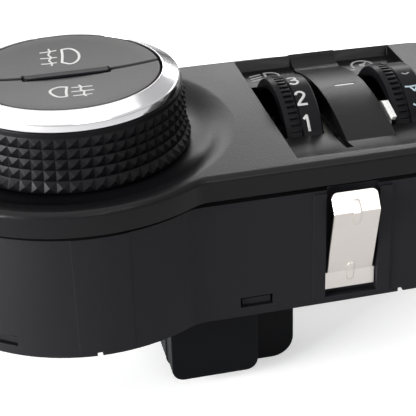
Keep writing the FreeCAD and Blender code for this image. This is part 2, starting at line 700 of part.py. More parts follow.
def turnedField(body, name, near, far, width, z, cut):
    """Blocks across the lobe's wall at both slanted places, added or cut away."""
    half = asLength(width) * 0.5
    along, across = sine(s["window_turn"]), cosine(s["window_turn"])
    for side, sign in (("Front", -1), ("Back", 1)):
        corners = [
            (-(along * r) + across * w, (across * r + along * w) * sign)
            for r, w in ((near, -half), (near, half), (far, half), (far, -half))]
        sketch = Drawing(body, f"{name}{side}Sketch", raised=z[0]).outline(*corners)
        made = pocket if cut else pad
        made(body, f"{name}{side}", sketch, asLength(z[1]) - z[0], reverse=cut)


def housingShell():
    body = newBody("housing_shell")
    height = s["housing_depth"] + s["housing_lip"]
    low = -s["housing_depth"]
    panelPad(body, "Block", housingInset, housingLobeInset, low, height)
    field = span(s["clip_middle"], s["recess_width"] + s["field_side"] * 2)
    rise = s["field_rise"]
    block(body, "ClipField", field, (-housingFront - rise, housingBack + rise),
          (-s["recess_foot"] - 0.6, -s["field_top"]))
    radius = s["lobe_radius"] - housingLobeInset
    raised = radius + rise
    turns = [(sine(angle), -cosine(angle)) for angle in (s["field_start"], s["field_end"])]
    corners = [(across * r, down * r) for (across, down), r in (
        (turns[0], raised), (turns[1], raised), (turns[1], radius - 1), (turns[0], radius - 1))]
    sketch = Drawing(body, "LobeFieldSketch", raised=low + 0.4).outline(
        corners[0], (*corners[1], raised), corners[2], (*corners[3], 1 - radius))
    pad(body, "LobeField", sketch, s["housing_depth"] - 0.7)
    panelPocket(body, "Hollow", innerInset, innerLobeInset, low, height)
    notch = (low - 1, low + s["edge_notch"])
    for number, x in enumerate((-1.5, s["clip_middle"] + 10.6)):
        blockCut(body, f"EdgeNotch{number}", span(x, s["edge_notch"] * 1.3),
                 (-s["bezel_front"] - 6, 6 - s["bezel_front"]), notch)

    # Recesses for the clips with a narrow slot through the wall at their feet
    recess = span(s["clip_middle"], s["recess_width"])
    slot = span(s["clip_middle"], s["recess_width"] - 1.2)
    slotLevel = (-s["recess_foot"], 0.1 - s["clip_foot"] - 1.1)
    for side, wall, sign in (("Front", housingFront, -1), ("Back", housingBack, 1)):
        outside = (wall + 1) * sign
        floor = (wall - s["recess_depth"]) * sign
        depth = (outside, floor) if sign < 0 else (floor, outside)
        blockCut(body, f"Recess{side}", recess, depth, (-s["recess_foot"], s["housing_lip"] + 1))
        inside = (wall - s["housing_wall"] - 1) * sign
        through = (outside, inside) if sign < 0 else (inside, outside)
        blockCut(body, f"FootSlot{side}", slot, through, slotLevel)

    # Snap windows for the rear cover's tongues
    windowLevel = (-s["window_foot"], s["window_height"] - s["window_foot"])
    across = (-s["bezel_front"] - 1, s["bezel_back"] + 1)
    for side in ("left", "right"):
        blockCut(body, f"Windows{side.title()}", span(s[f"window_{side}"], s["window_width"]),
                 across, windowLevel)
    turnedField(body, "WindowLobe", innerLobe - 2, s["lobe_radius"] + 1, s["window_width"],
                windowLevel, cut=True)

    # Bosses for the board, ears under the bezel and two posts for the knob's detent leaf
    bossLevel = (-s["board_top"], s["boss_height"] - s["board_top"])
    discs(body, "BoardBosses", s["boss_radius"], bossLevel, *boardScrews)
    bores(body, "BossBores", s["screw_radius"] + s["running_gap"],
          (bossLevel[0] - 1, bossLevel[0] + s["boss_bore"]), *boardScrews)
    earLevel = (earFoot, s["housing_lip"])
    for number, (x, y) in enumerate(bezelScrews):
        far = x + s["ear_width"] * 0.5
        if y.number < 0:
            drop = bowDrop(far, s["bezel_front"], s["front_bow"])
            reach = (drop + 1.0 - housingFront, y + s["ear_reach"])
        else:
            drop = bowDrop(far, s["bezel_back"], s["back_bow"])
            reach = (y - s["ear_reach"], housingBack - drop - 1.0)
        block(body, f"Ear{number}", span(x, s["ear_width"]), reach, earLevel)
    bores(body, "EarBores", s["screw_radius"] + 0.2, (earFoot - 1, s["housing_lip"] + 1),
          *bezelScrews)
    postLevel = span(-s["detent_middle"], s["detent_width"] + 1.2)
    for side, y in (("Front", -s["leaf_reach"]), ("Back", s["leaf_reach"])):
        block(body, f"LeafPost{side}", (-innerLobe - 0.8, -leafBack), span(y, 2.2), postLevel)


def rearCover():
    body = newBody("rear_cover")
    low = -s["housing_depth"]
    panelPad(body, "Plate", innerInset + s["shell_gap"], innerLobeInset + s["shell_gap"], low,
             s["cover_thickness"])
    gap = s["shell_gap"]
    blockCut(body, "NeckWindow", (neckX[0] - gap, neckX[1] + gap), (neckY[0] - gap, neckY[1] + gap),
             (low - 1, low + s["cover_thickness"] + 1))

    # Tongues along the housing's wall, each with a nose that snaps into a window
    wall = s["tongue_wall"]
    noseRoot = s["nose_root"]
    tongueLevel = (low + 1.0, s["window_height"] - s["window_foot"] + 0.9)
    noseLevel = (0.2 - s["window_foot"], s["window_height"] - s["window_foot"] - 0.6)
    tongueWidth = s["window_width"] - s["tongue_play"]
    for name in ("left", "right"):
        middle = s[f"window_{name}"]
        far = middle + s["window_width"] * 0.5
        for side, edge, bow, sign in (("Front", "bezel_front", "front_bow", -1),
                                      ("Back", "bezel_back", "back_bow", 1)):
            face = s[edge] - innerInset - gap - bowDrop(far, s[edge], s[bow])
            tongue = ("Tongue", face - wall, face, tongueLevel)
            nose = ("Nose", face - noseRoot, face + s["nose_reach"], noseLevel)
            for kind, near, reach, level in (tongue, nose):
                depth = (-reach, -near) if sign < 0 else (near, reach)
                block(body, f"{kind}{name.title()}{side}", span(middle, tongueWidth), depth, level)
    face = innerLobe - gap - 0.35
    turnedField(body, "LobeTongue", face - wall, face, tongueWidth, tongueLevel, cut=False)
    turnedField(body, "LobeNose", face - noseRoot, face + s["nose_reach"] + 0.2, tongueWidth,
                noseLevel, cut=False)


def circuitBoard():
    body = newBody("circuit_board")
    panelPad(body, "Plate", innerInset + s["board_gap"], innerLobeInset + s["board_gap"],
             -boardFoot, s["board_thickness"])
    through = (-boardFoot - 1, 1 - s["board_top"])
    window = span(s["wheel_centre"], (s["wheel_radius"] + 0.5) * 2)
    for number, shift in enumerate((0, s["wheel_pitch"])):
        blockCut(body, f"WheelWindow{number}", (cradleInner[0] + shift, cradleInner[1] + shift),
                 window, through)
    bores(body, "ScrewHoles", s["screw_radius"] + 0.2, through, *boardScrews)


def screws(label, places, headFoot, tip):
    """Slotted screws that point up, one solid for each place."""
    body = newBody(label)
    headTop = headFoot + s["head_height"]
    discs(body, "Heads", s["head_radius"], (headFoot, headTop), *places)
    discs(body, "Shanks", s["screw_radius"], (headTop, tip), *places)
    drawing = Drawing(body, "SlotSketch", raised=headFoot)
    for x, y in places:
        drawing.rectangle(*span(x, 2.8), *span(y, 0.6))
    pocket(body, "Slots", drawing.sketch, 0.6, reverse=True)


def boardLights():
    body = newBody("board_lights")
    drawing = Drawing(body, "LampSketch", raised=-s["board_top"])
    for x, y in ((0, 0), (pointerLeft + s["pointer_length"] * 0.5, pointerMiddle)):
        drawing.rectangle(*span(x, 2.6), *span(y, 2.0))
    pad(body, "Lamps", drawing.sketch, s["lamp_height"])


def strip(points, thickness):
    """The closed outline of a bent sheet: the given side up, the other side back down."""
    normals = []
    for (x1, y1), (x2, y2) in zip(points, points[1:]):
        dx, dy = asLength(x2) - x1, asLength(y2) - y1
        length = root(dx * dx + dy * dy)
        normals.append((-dy / length, dx / length))
    other = []
    for place, (x, y) in enumerate(points):
        before = normals[max(place - 1, 0)]
        after = normals[min(place, len(normals) - 1)]
        spread = before[0] * after[0] + before[1] * after[1] + 1
        other.append((
            asLength(x) + (before[0] + after[0]) * thickness / spread,
            asLength(y) + (before[1] + after[1]) * thickness / spread))
    return [*points, *reversed(other)]


def springClip(label, wall, rotation=None):
    """A bent clip: a flat tab in the housing's recess, a leaf that leans out and a short flap
    that leads back in. Its own Y is zero at the housing's wall."""
    body = newBody(label)
    sheet = s["clip_sheet"]
    tabTop = s["clip_tab"] - s["clip_foot"]
    side = strip((
        (s["recess_depth"], -s["clip_foot"]),
        (s["recess_depth"], tabTop),
        (sheet - s["clip_reach"], -s["clip_bend"]),
        (-s["clip_return"], -s["clip_top"])), sheet)
    half = s["clip_width"] * 0.5
    sketch = Drawing(body, "LeafSketch", "YZ_Plane", raised=-half).outline(*side)
    pad(body, "Leaf", sketch, s["clip_width"])
    width = s["clip_width"].number
    rounded(body, "Bends", sheet * 0.8, lambda edge: (
        edge.BoundBox.XLength > width - 0.01
        and s["clip_foot"].number * -1 + 2 < edge.BoundBox.ZMin < -s["clip_bend"].number + 2))
    rounded(body, "FlapCorners", s["clip_sheet"] * 2.4, lambda edge: (
        edge.BoundBox.XLength < 0.01 and edge.Length < sheet.number + 0.05
        and edge.BoundBox.ZMin > -s["clip_bend"].number + 1.5))
    block(body, "Tab", span(0, s["tab_width"]), (s["recess_depth"] - sheet, s["recess_depth"]),
          (-s["clip_foot"], tabTop))
    place(body, s["clip_middle"], wall, 0, rotation)


def centerPost():
    """The fixed tube that carries the divider bar and guides both buttons."""
    body = newBody("center_post")
    height = (-s["board_top"], s["post_top"])
    discs(body, "Tube", postRadius, height)
    bores(body, "Bore", s["post_bore"], (height[0] - 1, height[1] + 1))
    block(body, "Web", span(0, s["post_bore"] * 2 + 1), span(0, s["post_web"]), height)
    discs(body, "Floor", s["post_bore"] + 0.5, (0.5, 2.0))
    discs(body, "Boss", s["post_boss"], height)
    bores(body, "GuideBore", s["guide_radius"] + s["running_gap"], (height[0] - 1, height[1] + 1))
    bores(body, "RodBores", s["rod_radius"] + s["running_gap"], (0, 3),
          (0, s["rod_place"]), (0, -s["rod_place"]))


def dividerBar():
    """The rounded bar between the buttons."""
    body = newBody("divider_bar")
    half = s["bar_length"] * 0.5
    side = s["bar_width"] * 0.5
    corner = side * 0.8
    sketch = Drawing(body, "BarSketch", raised=s["post_top"]).outline(
        (-half + corner, -side, corner),
        (half - corner, -side),
        (half, -side + corner, corner),
        (half, side - corner),
        (half - corner, side, corner),
        (-half + corner, side),
        (-half, side - corner, corner),
        (-half, -side + corner))
    pad(body, "Bar", sketch, s["bar_top"] - s["post_top"])


def rubberDome(label, y):
    body = newBody(label)
    sketch = Drawing(body, "DomeSketch", "XZ_Plane").outline(
        (s["dome_radius"] - 0.6, 0),
        (s["dome_radius"], 0),
        (1.9, s["dome_height"]),
        (0, s["dome_height"]),
        (0, s["dome_height"] - 0.6),
        (1.5, s["dome_height"] - 0.6))
    turned(body, "Revolution", "Dome", sketch)
    place(body, 0, y, -s["board_top"])


def knobDetentLeaf():
    body = newBody("knob_detent_leaf")
    level = span(-s["detent_middle"], s["detent_width"] - 0.4)
    block(body, "Leaf", (-leafBack, s["leaf_sheet"] - leafBack), span(0, s["leaf_reach"] * 2 + 2),
          level)
    nose = asLength(1.4)
    discs(body, "Nose", nose, level, (-s["detent_radius"] - s["running_gap"] - nose, 0))


def wheelCradle():
    """The frame that both thumbwheels hang in."""
    body = newBody("wheel_cradle")
    inside = (s["wheel_radius"] + s["cradle_open"]) * 2
    low = -s["board_top"]
    base = (low, low + s["cradle_base"])
    open_ = (base[0] - 1, base[1] + 1)
    shift = s["wheel_pitch"]
    outside = inside + s["cradle_rim"] * 2
    block(body, "Base", (cradleLeft, cradleRight + shift), span(s["wheel_centre"], outside), base)
    gaps = (
        cradleInner,
        (cradleRight, cradleLeft + shift),
        (cradleInner[0] + shift, cradleInner[1] + shift))
    for number, gap in enumerate(gaps):
        blockCut(body, f"Opening{number}", gap, span(s["wheel_centre"], inside), open_)
    walls = (
        (cradleLeft, cradleInner[0]),
        (cradleInner[1], cradleRight),
        (cradleLeft + shift, cradleInner[0] + shift),
        (cradleInner[1] + shift, cradleRight + shift))
    for number, wall in enumerate(walls):
        block(body, f"Wall{number}", wall, wallSpan, (low, -s["cradle_top"]))
    sketch = Drawing(body, "AxleBoreSketch", "YZ_Plane", raised=cradleLeft - 1).circle(
        s["axle_radius"] + s["running_gap"], s["wheel_centre"], -s["wheel_depth"])
    pocket(body, "AxleBores", sketch, cradleRight + shift - cradleLeft + 2, reverse=True)


def potentiometer(label, left):
    body = newBody(label)
    block(body, "Case", (left, left + s["pot_thickness"]), span(s["wheel_centre"], s["pot_width"]),
          (-s["board_top"], 1.2 - s["cradle_top"]))
    sketch = Drawing(body, "AxleBoreSketch", "YZ_Plane", raised=left - 1).circle(
        s["axle_radius"] + 0.1, s["wheel_centre"], -s["wheel_depth"])
    pocket(body, "AxleBore", sketch, s["pot_thickness"] + 2, reverse=True)


def axle(label, shift):
    """Starts outside the cradle's left wall and ends inside the potentiometer."""
    body = newBody(label)
    ends = (s["cradle_gap"] + s["cradle_wall"] + 0.5,
            s["wheel_width"] + s["cradle_gap"] + s["cradle_wall"] + s["pot_thickness"] - 0.6)
    discs(body, "Rod", s["axle_radius"], (-ends[0], ends[1]))
    place(body, wheelLeft + shift, s["wheel_centre"], -s["wheel_depth"], alongAxle)


def thumbwheel(label, shift, starred):
    """A spoked-out drum with a ribbed band on its left and a smooth band for the marks. Its own
    Z runs along the axle."""
    body = newBody(label)
    ribs = s["wheel_radius"]
    band = ribs - s["digit_drop"]
    width = s["wheel_width"]
    rim = s["rim_inner"]
    hub = s["hub_radius"]
    bore = s["axle_radius"] + s["press_gap"]
    web = s["web_place"]
    webEnd = web + s["web_thickness"]
    bandStart = s["rib_band"] + 0.3
    sketch = Drawing(body, "DrumSketch", "XZ_Plane").outline(
        (bore, 0.3),
        (hub, 0.3),
        (hub, web),
        (rim, web),
        (rim, 0),
        (ribs - s["lip_slope"], 0),
        (ribs, s["rib_lip"]),
        (ribs, s["rib_band"]),
        (band - 0.4, s["rib_band"]),
        (band - 0.4, bandStart),
        (band, bandStart + 0.3),
        (band, width - 0.4),
        (band - 0.4, width),
        (rim, width),
        (rim, webEnd),
        (hub, webEnd),
        (hub, width - 0.3),
        (bore, width - 0.3))
    turned(body, "Revolution", "Drum", sketch)
    if starred:
        discs(body, "Star", s["star_radius"], (0.3, web + 0.1))
        bores(body, "StarBore", bore, (-1, width + 1))
        notch = Drawing(body, "NotchSketch", raised=0.2).circle(
            s["star_notch"], 0, s["star_radius"] + 0.1)
        cut = pocket(body, "Notch", notch, web - 0.2, reverse=True)
        around(body, "Notches", cut, notch, asLength(360) / s["level_step"])
    gap = Drawing(body, "RibGapSketch", raised=s["rib_lip"]).rectangle(
        ribs - s["rib_depth"], ribs + 1, *span(0, s["rib_gap"]))
    cut = pocket(body, "RibGap", gap, s["rib_band"] - s["rib_lip"], reverse=True)
    around(body, "RibGaps", cut, gap, s["rib_count"])
    place(body, wheelLeft + shift, s["wheel_centre"], -s["wheel_depth"], alongAxle)


def levellingDetentLeaf():
    """A leaf along the cradle's wall whose nose rests against the star."""
    body = newBody("levelling_detent_leaf")
    nose = asLength(0.95)
    centre = s["wheel_centre"] + s["star_radius"] + s["running_gap"] + nose
    wall = cradleInner[0]
    block(body, "Leaf", (wall, wall + 2.6), (centre, centre + s["leaf_sheet"]),
          span(-s["wheel_depth"] - 0.6, 9.6))
    sketch = Drawing(body, "NoseSketch", "YZ_Plane", raised=wall + 0.9).circle(
        nose, centre, -s["wheel_depth"])
    pad(body, "Nose", sketch, 1.7)


def dimmerReturnSpring():
    """The coil between the dimmer wheel's web and the cradle's wall."""
    body = newBody("dimmer_return_spring")
    wire = asLength(0.35)
    sketch = Drawing(body, "WireSketch", "XZ_Plane").circle(wire, s["hub_radius"] + 1.2, wire)
    coil = body.newObject("PartDesign::AdditiveHelix", "Coil")
    coil.Profile = sketch
    coil.ReferenceAxis = (sketch, ["V_Axis"])
    coil.Mode = 0
    coil.Pitch = 0.9
    coil.Height = 1.95
    body.Tip = coil
    start = s["web_place"] + s["web_thickness"] + 0.45
    place(body, wheelLeft + s["wheel_pitch"] + start, s["wheel_centre"], -s["wheel_depth"],
          alongAxle)


def pointerLightGuide():
    body = newBody("pointer_light_guide")
    gap = s["running_gap"]
    right = pointerLeft + s["pointer_length"]
    foot = s["trough_floor"] - 0.1
    block(body, "Stem", (pointerLeft + gap, right - gap), span(pointerMiddle, 2.3), (guideFoot, foot))
    block(body, "Blade", (pointerLeft + gap, right - gap),
          span(pointerMiddle, s["pointer_width"] - gap * 2), (foot, s["saddle_top"] - 0.1))


def dimmerLightGuide():
    """The thin strip that comes up beside the dimmer wheel and bends towards the user."""
    body = newBody("dimmer_light_guide")
    foot = s["cradle_base"] - s["board_top"]
    sketch = Drawing(body, "BladeSketch", "YZ_Plane", raised=secondTrough + 0.6).outline(
        (-8.5, foot),
        (-6.5, foot),
        (-4.4, s["deck_top"] - 0.1),
        (-7.6, s["deck_top"] + 1.4),
        (-12.7, s["deck_top"] + 0.1),
        (-11.8, s["deck_top"] - 1.0),
        (-10.0, s["trough_floor"] + 0.6))
    pad(body, "Blade", sketch, 0.8)


def knobCarrier():
    """The sleeve that turns on the post, with its flange and the notched detent ring."""
    body = newBody("knob_carrier")
    sleeve = s["sleeve_outer"]
    ring = span(-s["detent_middle"], s["detent_width"])
    sketch = Drawing(body, "SleeveSketch", "XZ_Plane").outline(
        (s["sleeve_bore"], -s["sleeve_foot"]),
        (sleeve, -s["sleeve_foot"]),
        (sleeve, ring[0]),
        (s["detent_radius"], ring[0]),
        (s["detent_radius"], ring[1]),
        (sleeve, ring[1]),
        (sleeve, flangeFoot),
        (s["flange_radius"], flangeFoot),
        (s["flange_radius"], flangeTop),
        (sleeve, flangeTop),
        (sleeve, s["sleeve_top"]),
        (s["sleeve_bore"], s["sleeve_top"]))
    turned(body, "Revolution", "Sleeve", sketch)
    circle = s["detent_radius"] + s["detent_notch"] * 0.5
    turns = [s["detent_step"] * step + 180 for step in range(4)]
    places = [(circle * cosine(turn), circle * sine(turn)) for turn in turns]
    bores(body, "Notches", s["detent_notch"] + 0.2, (ring[0] - 0.5, ring[1] + 0.5), *places)


def contactWiper():
    """A thin ring under the sleeve with three fingers that reach down to the board."""
    body = newBody("contact_wiper")
    ringFoot = -s["sleeve_foot"] - 0.5
    discs(body, "Ring", s["sleeve_outer"] - 0.2, (ringFoot, -s["sleeve_foot"]))
    bores(body, "RingBore", s["sleeve_bore"] + 0.3, (ringFoot - 1, 1 - s["sleeve_foot"]))
    finger = Drawing(body, "FingerSketch", raised=0.3 - s["board_top"]).rectangle(
        *span(s["sleeve_bore"] + 1.4, 0.5), *span(0, 2.6))
    made = pad(body, "Finger", finger, ringFoot - 0.2 + s["board_top"])
    around(body, "Fingers", made, finger, 3)


def knobGrip():
    """The grip, with one four-sided point in every cell of a grid wrapped round a flared cone."""
    rows = int(s["knurl_rows"].number)
    points = int(s["knurl_points"].number)
    foot = s["knurl_foot"].number
    top = s["knurl_top"].number
    depth = s["knurl_depth"].number
    upper = s["point_radius"].number
    flare = s["foot_point_radius"].number - upper
    fade = 0.38
    pitch = (top - foot) / rows
    step = 2 * math.pi / points

    def corner(radius, place, height):
        return FreeCAD.Vector(radius * math.cos(place * step), radius * math.sin(place * step), height)

    def tipRadius(row):
        return upper + flare * fade ** row

    levels = [(tipRadius(row - 0.5) - depth, foot + pitch * row) for row in range(rows + 1)]
    footLevel = (levels[0][0] - 0.3, s["grip_foot"].number)
    bandLevel = (s["band_radius"].number, s["ring_bottom"].number)
    faces = []
    for row in range(rows):
        for place in range(points):
            cell = [
                corner(levels[row][0], place, levels[row][1]),
                corner(levels[row][0], place + 1, levels[row][1]),
                corner(levels[row + 1][0], place + 1, levels[row + 1][1]),
                corner(levels[row + 1][0], place, levels[row + 1][1])]
            point = corner(tipRadius(row), place + 0.5, foot + pitch * (row + 0.5))
            for start, end in zip(cell, cell[1:] + cell[:1]):
                faces.append(Part.Face(Part.makePolygon([start, end, point, start])))
    for low, high in ((footLevel, levels[0]), (levels[-1], bandLevel)):
        for place in range(points):
            wall = [corner(low[0], place, low[1]), corner(low[0], place + 1, low[1]),
                    corner(high[0], place + 1, high[1]), corner(high[0], place, high[1])]
            faces.append(Part.Face(Part.makePolygon(wall + wall[:1])))
    for radius, height in (footLevel, bandLevel):
        ring = [corner(radius, place, height) for place in range(points)]
        faces.append(Part.Face(Part.makePolygon(ring + ring[:1])))
    shell = Part.makeShell(faces)
    shell.sewShape()
    solid = Part.makeSolid(shell)
    bore = s["sleeve_outer"].number + s["press_gap"].number
    solid = solid.cut(Part.makeCylinder(bore, bandLevel[1] + 2))
    grip = doc.addObject("Part::Feature", "knob_grip")
    grip.Label = "knob_grip"
    grip.Shape = solid.Solids[0]


def knobChromeRing():
    body = newBody("knob_chrome_ring")
    inner = s["button_radius"] + s["ring_gap"]
    under = s["ring_radius"] - s["ring_wall"]
    sketch = Drawing(body, "RingSketch", "XZ_Plane").outline(
        (inner, s["ring_top"]),
        (inner, s["shoulder_height"] + 0.3),
        (under, s["shoulder_height"] - 0.4),
        (under, s["ring_bottom"]),
        (s["ring_radius"], s["ring_bottom"]),
        (s["ring_shoulder"], s["shoulder_height"]))
    turned(body, "Revolution", "Ring", sketch)


def halfDisc(drawing, radius, flat):
    """The part of a disc that lies beyond a straight side."""
    edge = root(radius * radius - flat * flat)
    return drawing.outline((edge, flat), (0, radius, radius), (-edge, flat, radius))


def fogButton(label, rotation=None):
    """A half-round button: a dished flange with a notch for the divider bar, and a skirt that
    slides in the post."""
    body = newBody(label)
    radius = s["button_radius"]
    flat = s["button_split"] * 0.5
    edge = root(radius * radius - flat * flat)
    notch = s["bar_length"] * 0.5 + flat
    notchSide = s["bar_width"] * 0.5 + flat
    sketch = Drawing(body, "FlangeSketch", raised=buttonFoot).outline(
        (edge, flat),
        (0, radius, radius),
        (-edge, flat, radius),
        (-notch, flat),
        (-notch, notchSide),
        (notch, notchSide),
        (notch, flat))
    pad(body, "Flange", sketch, s["button_flange"])
    rim = radius - 0.5
    dish = s["button_dish"]
    curve = (rim * rim + dish * dish) / (dish * 2)
    hollow = Drawing(body, "DishSketch", "XZ_Plane").outline(
        (0, s["button_top"] - dish),
        (rim, s["button_top"], curve),
        (rim, s["button_top"] + 1),
        (0, s["button_top"] + 1))
    turned(body, "Groove", "Dish", hollow)
    height = buttonFoot - s["skirt_foot"]
    outer = halfDisc(Drawing(body, "SkirtSketch", raised=s["skirt_foot"]), s["skirt_radius"],
                     s["skirt_flat"])
    pad(body, "Skirt", outer, height)
    inner = halfDisc(Drawing(body, "SkirtHollowSketch", raised=s["skirt_foot"]),
                     s["skirt_radius"] - s["skirt_wall"], s["skirt_flat"] + s["skirt_wall"])
    pocket(body, "SkirtHollow", inner, height, reverse=True)
    place(body, 0, 0, 0, rotation)


def pushRod(label, rotation=None):
    body = newBody(label)
    foot = s["dome_height"] + s["dome_gap"] - s["board_top"]
    spot = (0, s["rod_place"])
    discs(body, "Rod", s["rod_radius"], (foot, buttonFoot - 1.2), spot)
    discs(body, "Head", s["rod_head"], (buttonFoot - 1.2, buttonFoot), spot)
    place(body, 0, 0, 0, rotation)


def sideOutline(drawing, left, right, foot, top, corner):
    """A plate seen from the front with both lower corners rounded."""
    return drawing.outline(
        (left, top),
        (left, foot + corner),
        (left + corner, foot, corner),
        (right - corner, foot),
        (right, foot + corner, corner),
        (right, top))


def connectorShroud():
    """The plug socket: a neck up to the board, the socket and the latch channel before it."""
    body = newBody("connector_shroud")
    top = -s["housing_depth"] - s["shell_gap"]
    left = s["socket_left"]
    right = left + s["socket_width"]
    latchLeft = s["latch_left"]
    latchRight = latchLeft + s["latch_width"]
    wall = s["socket_wall"]
    front = s["socket_front"]
    latchFront = front + s["latch_depth"]
    sketch = sideOutline(Drawing(body, "SocketSketch", "XZ_Plane", raised=front), left, right,
                         -s["socket_foot"], top, s["socket_corner"])
    pad(body, "Socket", sketch, s["socket_depth"], reverse=True)
    sketch = sideOutline(Drawing(body, "LatchSketch", "XZ_Plane", raised=latchFront), latchLeft,
                         latchRight, -s["latch_foot"], top, s["latch_corner"])
    pad(body, "Latch", sketch, s["latch_depth"] + 0.5, reverse=True)
    block(body, "Neck", neckX, neckY, (top - 1, -boardFoot))
    blockCut(body, "NeckHollow", (neckX[0] + wall, neckX[1] - wall), (neckY[0] + wall, neckY[1] - wall),
             (floorTop, 1 - boardFoot))
    below = -s["socket_foot"] - 1
    blockCut(body, "SocketHollow", (left + wall, right - wall), neckY, (below, floorUnder))
    blockCut(body, "LatchHollow", (latchLeft + wall, latchRight - wall), (wall - latchFront, -front),
             (below, floorUnder))
    latchMiddle = latchLeft + s["latch_width"] * 0.5
    blockCut(body, "LatchSlot", span(latchMiddle, 7.0), (-front - 0.5, wall - front + 0.5),
             (below, floorUnder - 2))
    gap = s["running_gap"]
    for number, row in enumerate(pinRows):
        hole = Drawing(body, f"PinHole{number}Sketch", raised=floorUnder - 1).rectangle(
            *span(firstPin, s["pin_width"] + gap * 2), *span(row, s["pin_width"] + gap * 2))
        cut = pocket(body, f"PinHole{number}", hole, s["socket_floor"] + 2, reverse=True)
        along(body, f"PinHoles{number}", cut, hole, "H_Axis", s["pin_pitch"], s["pin_count"])


def connectorPins():
    body = newBody("connector_pins")
    drawing = Drawing(body, "PinSketch", raised=pinLevel)
    for number in range(int(s["pin_count"].number)):
        for row in pinRows:
            middle = firstPin + s["pin_pitch"] * number
            drawing.rectangle(*span(middle, s["pin_width"]), *span(row, s["pin_width"]))
    pad(body, "Pins", drawing.sketch, -boardFoot - pinLevel)


def singleRod(label, radius, z):
    discs(newBody(label), "Rod", radius, z)


bezelPanel()
housingShell()
rearCover()
circuitBoard()
screws("board_screws", boardScrews, -boardFoot - s["head_height"], 4.8 - s["board_top"])
screws("bezel_screws", bezelScrews, earFoot - s["head_height"], asLength(2.9))
boardLights()
springClip("spring_clip_front", -housingFront)
springClip("spring_clip_rear", housingBack, halfTurn)
centerPost()
dividerBar()
singleRod("button_light_guide", s["guide_radius"], (guideFoot, s["post_top"] - 0.1))
rubberDome("front_dome", s["rod_place"])
rubberDome("rear_dome", -s["rod_place"])
knobDetentLeaf()
knobCarrier()
contactWiper()
knobGrip()
knobChromeRing()
fogButton("front_fog_button")
fogButton("rear_fog_button", halfTurn)
pushRod("front_button_rod")
pushRod("rear_button_rod", halfTurn)
wheelCradle()
thumbwheel("levelling_wheel", 0, starred=True)
thumbwheel("dimmer_wheel", s["wheel_pitch"], starred=False)
axle("levelling_axle", 0)
axle("dimmer_axle", s["wheel_pitch"])
potentiometer("levelling_potentiometer", cradleRight + 0.1)
potentiometer("dimmer_potentiometer", cradleRight + 0.1 + s["wheel_pitch"])
levellingDetentLeaf()
dimmerReturnSpring()
pointerLightGuide()
dimmerLightGuide()
connectorShroud()
connectorPins()

doc.recompute()
for item in doc.Objects:
    if "Invalid" in item.State or "Error" in item.State:
        raise SystemExit(f"{item.Label} failed: {item.State}")
pieces = [item for item in doc.Objects if item.TypeId in ("PartDesign::Body", "Part::Feature")]
for item in pieces:
    if item.Shape.isNull() or not item.Shape.isValid():
        raise SystemExit(f"{item.Label} has no valid shape")
os.makedirs("parts", exist_ok=True)
for item in pieces:
    item.Shape.exportStep(f"parts/{item.Label}.step")
    print(item.Label, len(item.Shape.Solids), round(item.Shape.Volume, 1))
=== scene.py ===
import math
import bpy
from mathutils import Matrix, Vector


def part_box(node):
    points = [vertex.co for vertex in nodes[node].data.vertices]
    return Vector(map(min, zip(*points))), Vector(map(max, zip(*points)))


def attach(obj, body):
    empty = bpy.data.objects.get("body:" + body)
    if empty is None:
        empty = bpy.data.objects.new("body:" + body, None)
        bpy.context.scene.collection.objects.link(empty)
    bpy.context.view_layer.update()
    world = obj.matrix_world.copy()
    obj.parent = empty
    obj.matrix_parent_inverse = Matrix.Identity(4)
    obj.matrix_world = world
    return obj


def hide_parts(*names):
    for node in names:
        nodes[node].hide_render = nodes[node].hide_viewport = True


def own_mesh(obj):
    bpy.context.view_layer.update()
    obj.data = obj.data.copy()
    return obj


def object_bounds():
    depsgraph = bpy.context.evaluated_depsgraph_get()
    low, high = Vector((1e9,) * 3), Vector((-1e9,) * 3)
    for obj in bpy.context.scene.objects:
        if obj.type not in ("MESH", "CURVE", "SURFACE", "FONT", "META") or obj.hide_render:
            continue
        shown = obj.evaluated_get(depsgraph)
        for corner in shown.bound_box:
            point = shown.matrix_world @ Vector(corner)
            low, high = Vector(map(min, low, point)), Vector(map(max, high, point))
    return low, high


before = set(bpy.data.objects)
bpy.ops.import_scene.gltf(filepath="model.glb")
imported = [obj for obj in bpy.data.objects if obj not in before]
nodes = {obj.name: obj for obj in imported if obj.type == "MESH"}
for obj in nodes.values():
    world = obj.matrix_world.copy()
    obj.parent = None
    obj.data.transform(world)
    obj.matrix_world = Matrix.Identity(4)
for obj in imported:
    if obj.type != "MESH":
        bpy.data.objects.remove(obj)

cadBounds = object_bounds()
mm = 0.001
print("frame loaded with", len(nodes), "nodes")


class Wire:  # one output of a shader node, with the sums it can stand in
    def __init__(self, finish, socket):
        self.finish = finish
        self.socket = socket

    def sums(self, kind, *values):
        return self.finish.add("ShaderNodeMath", {"operation": kind}, dict(enumerate(values)))

    def __add__(self, other):
        return self.sums("ADD", self, other)

    def __sub__(self, other):
        return self.sums("SUBTRACT", self, other)

    def __mul__(self, other):
        return self.sums("MULTIPLY", self, other)

    def __lt__(self, other):
        return self.sums("LESS_THAN", self, other)

    __radd__ = __add__


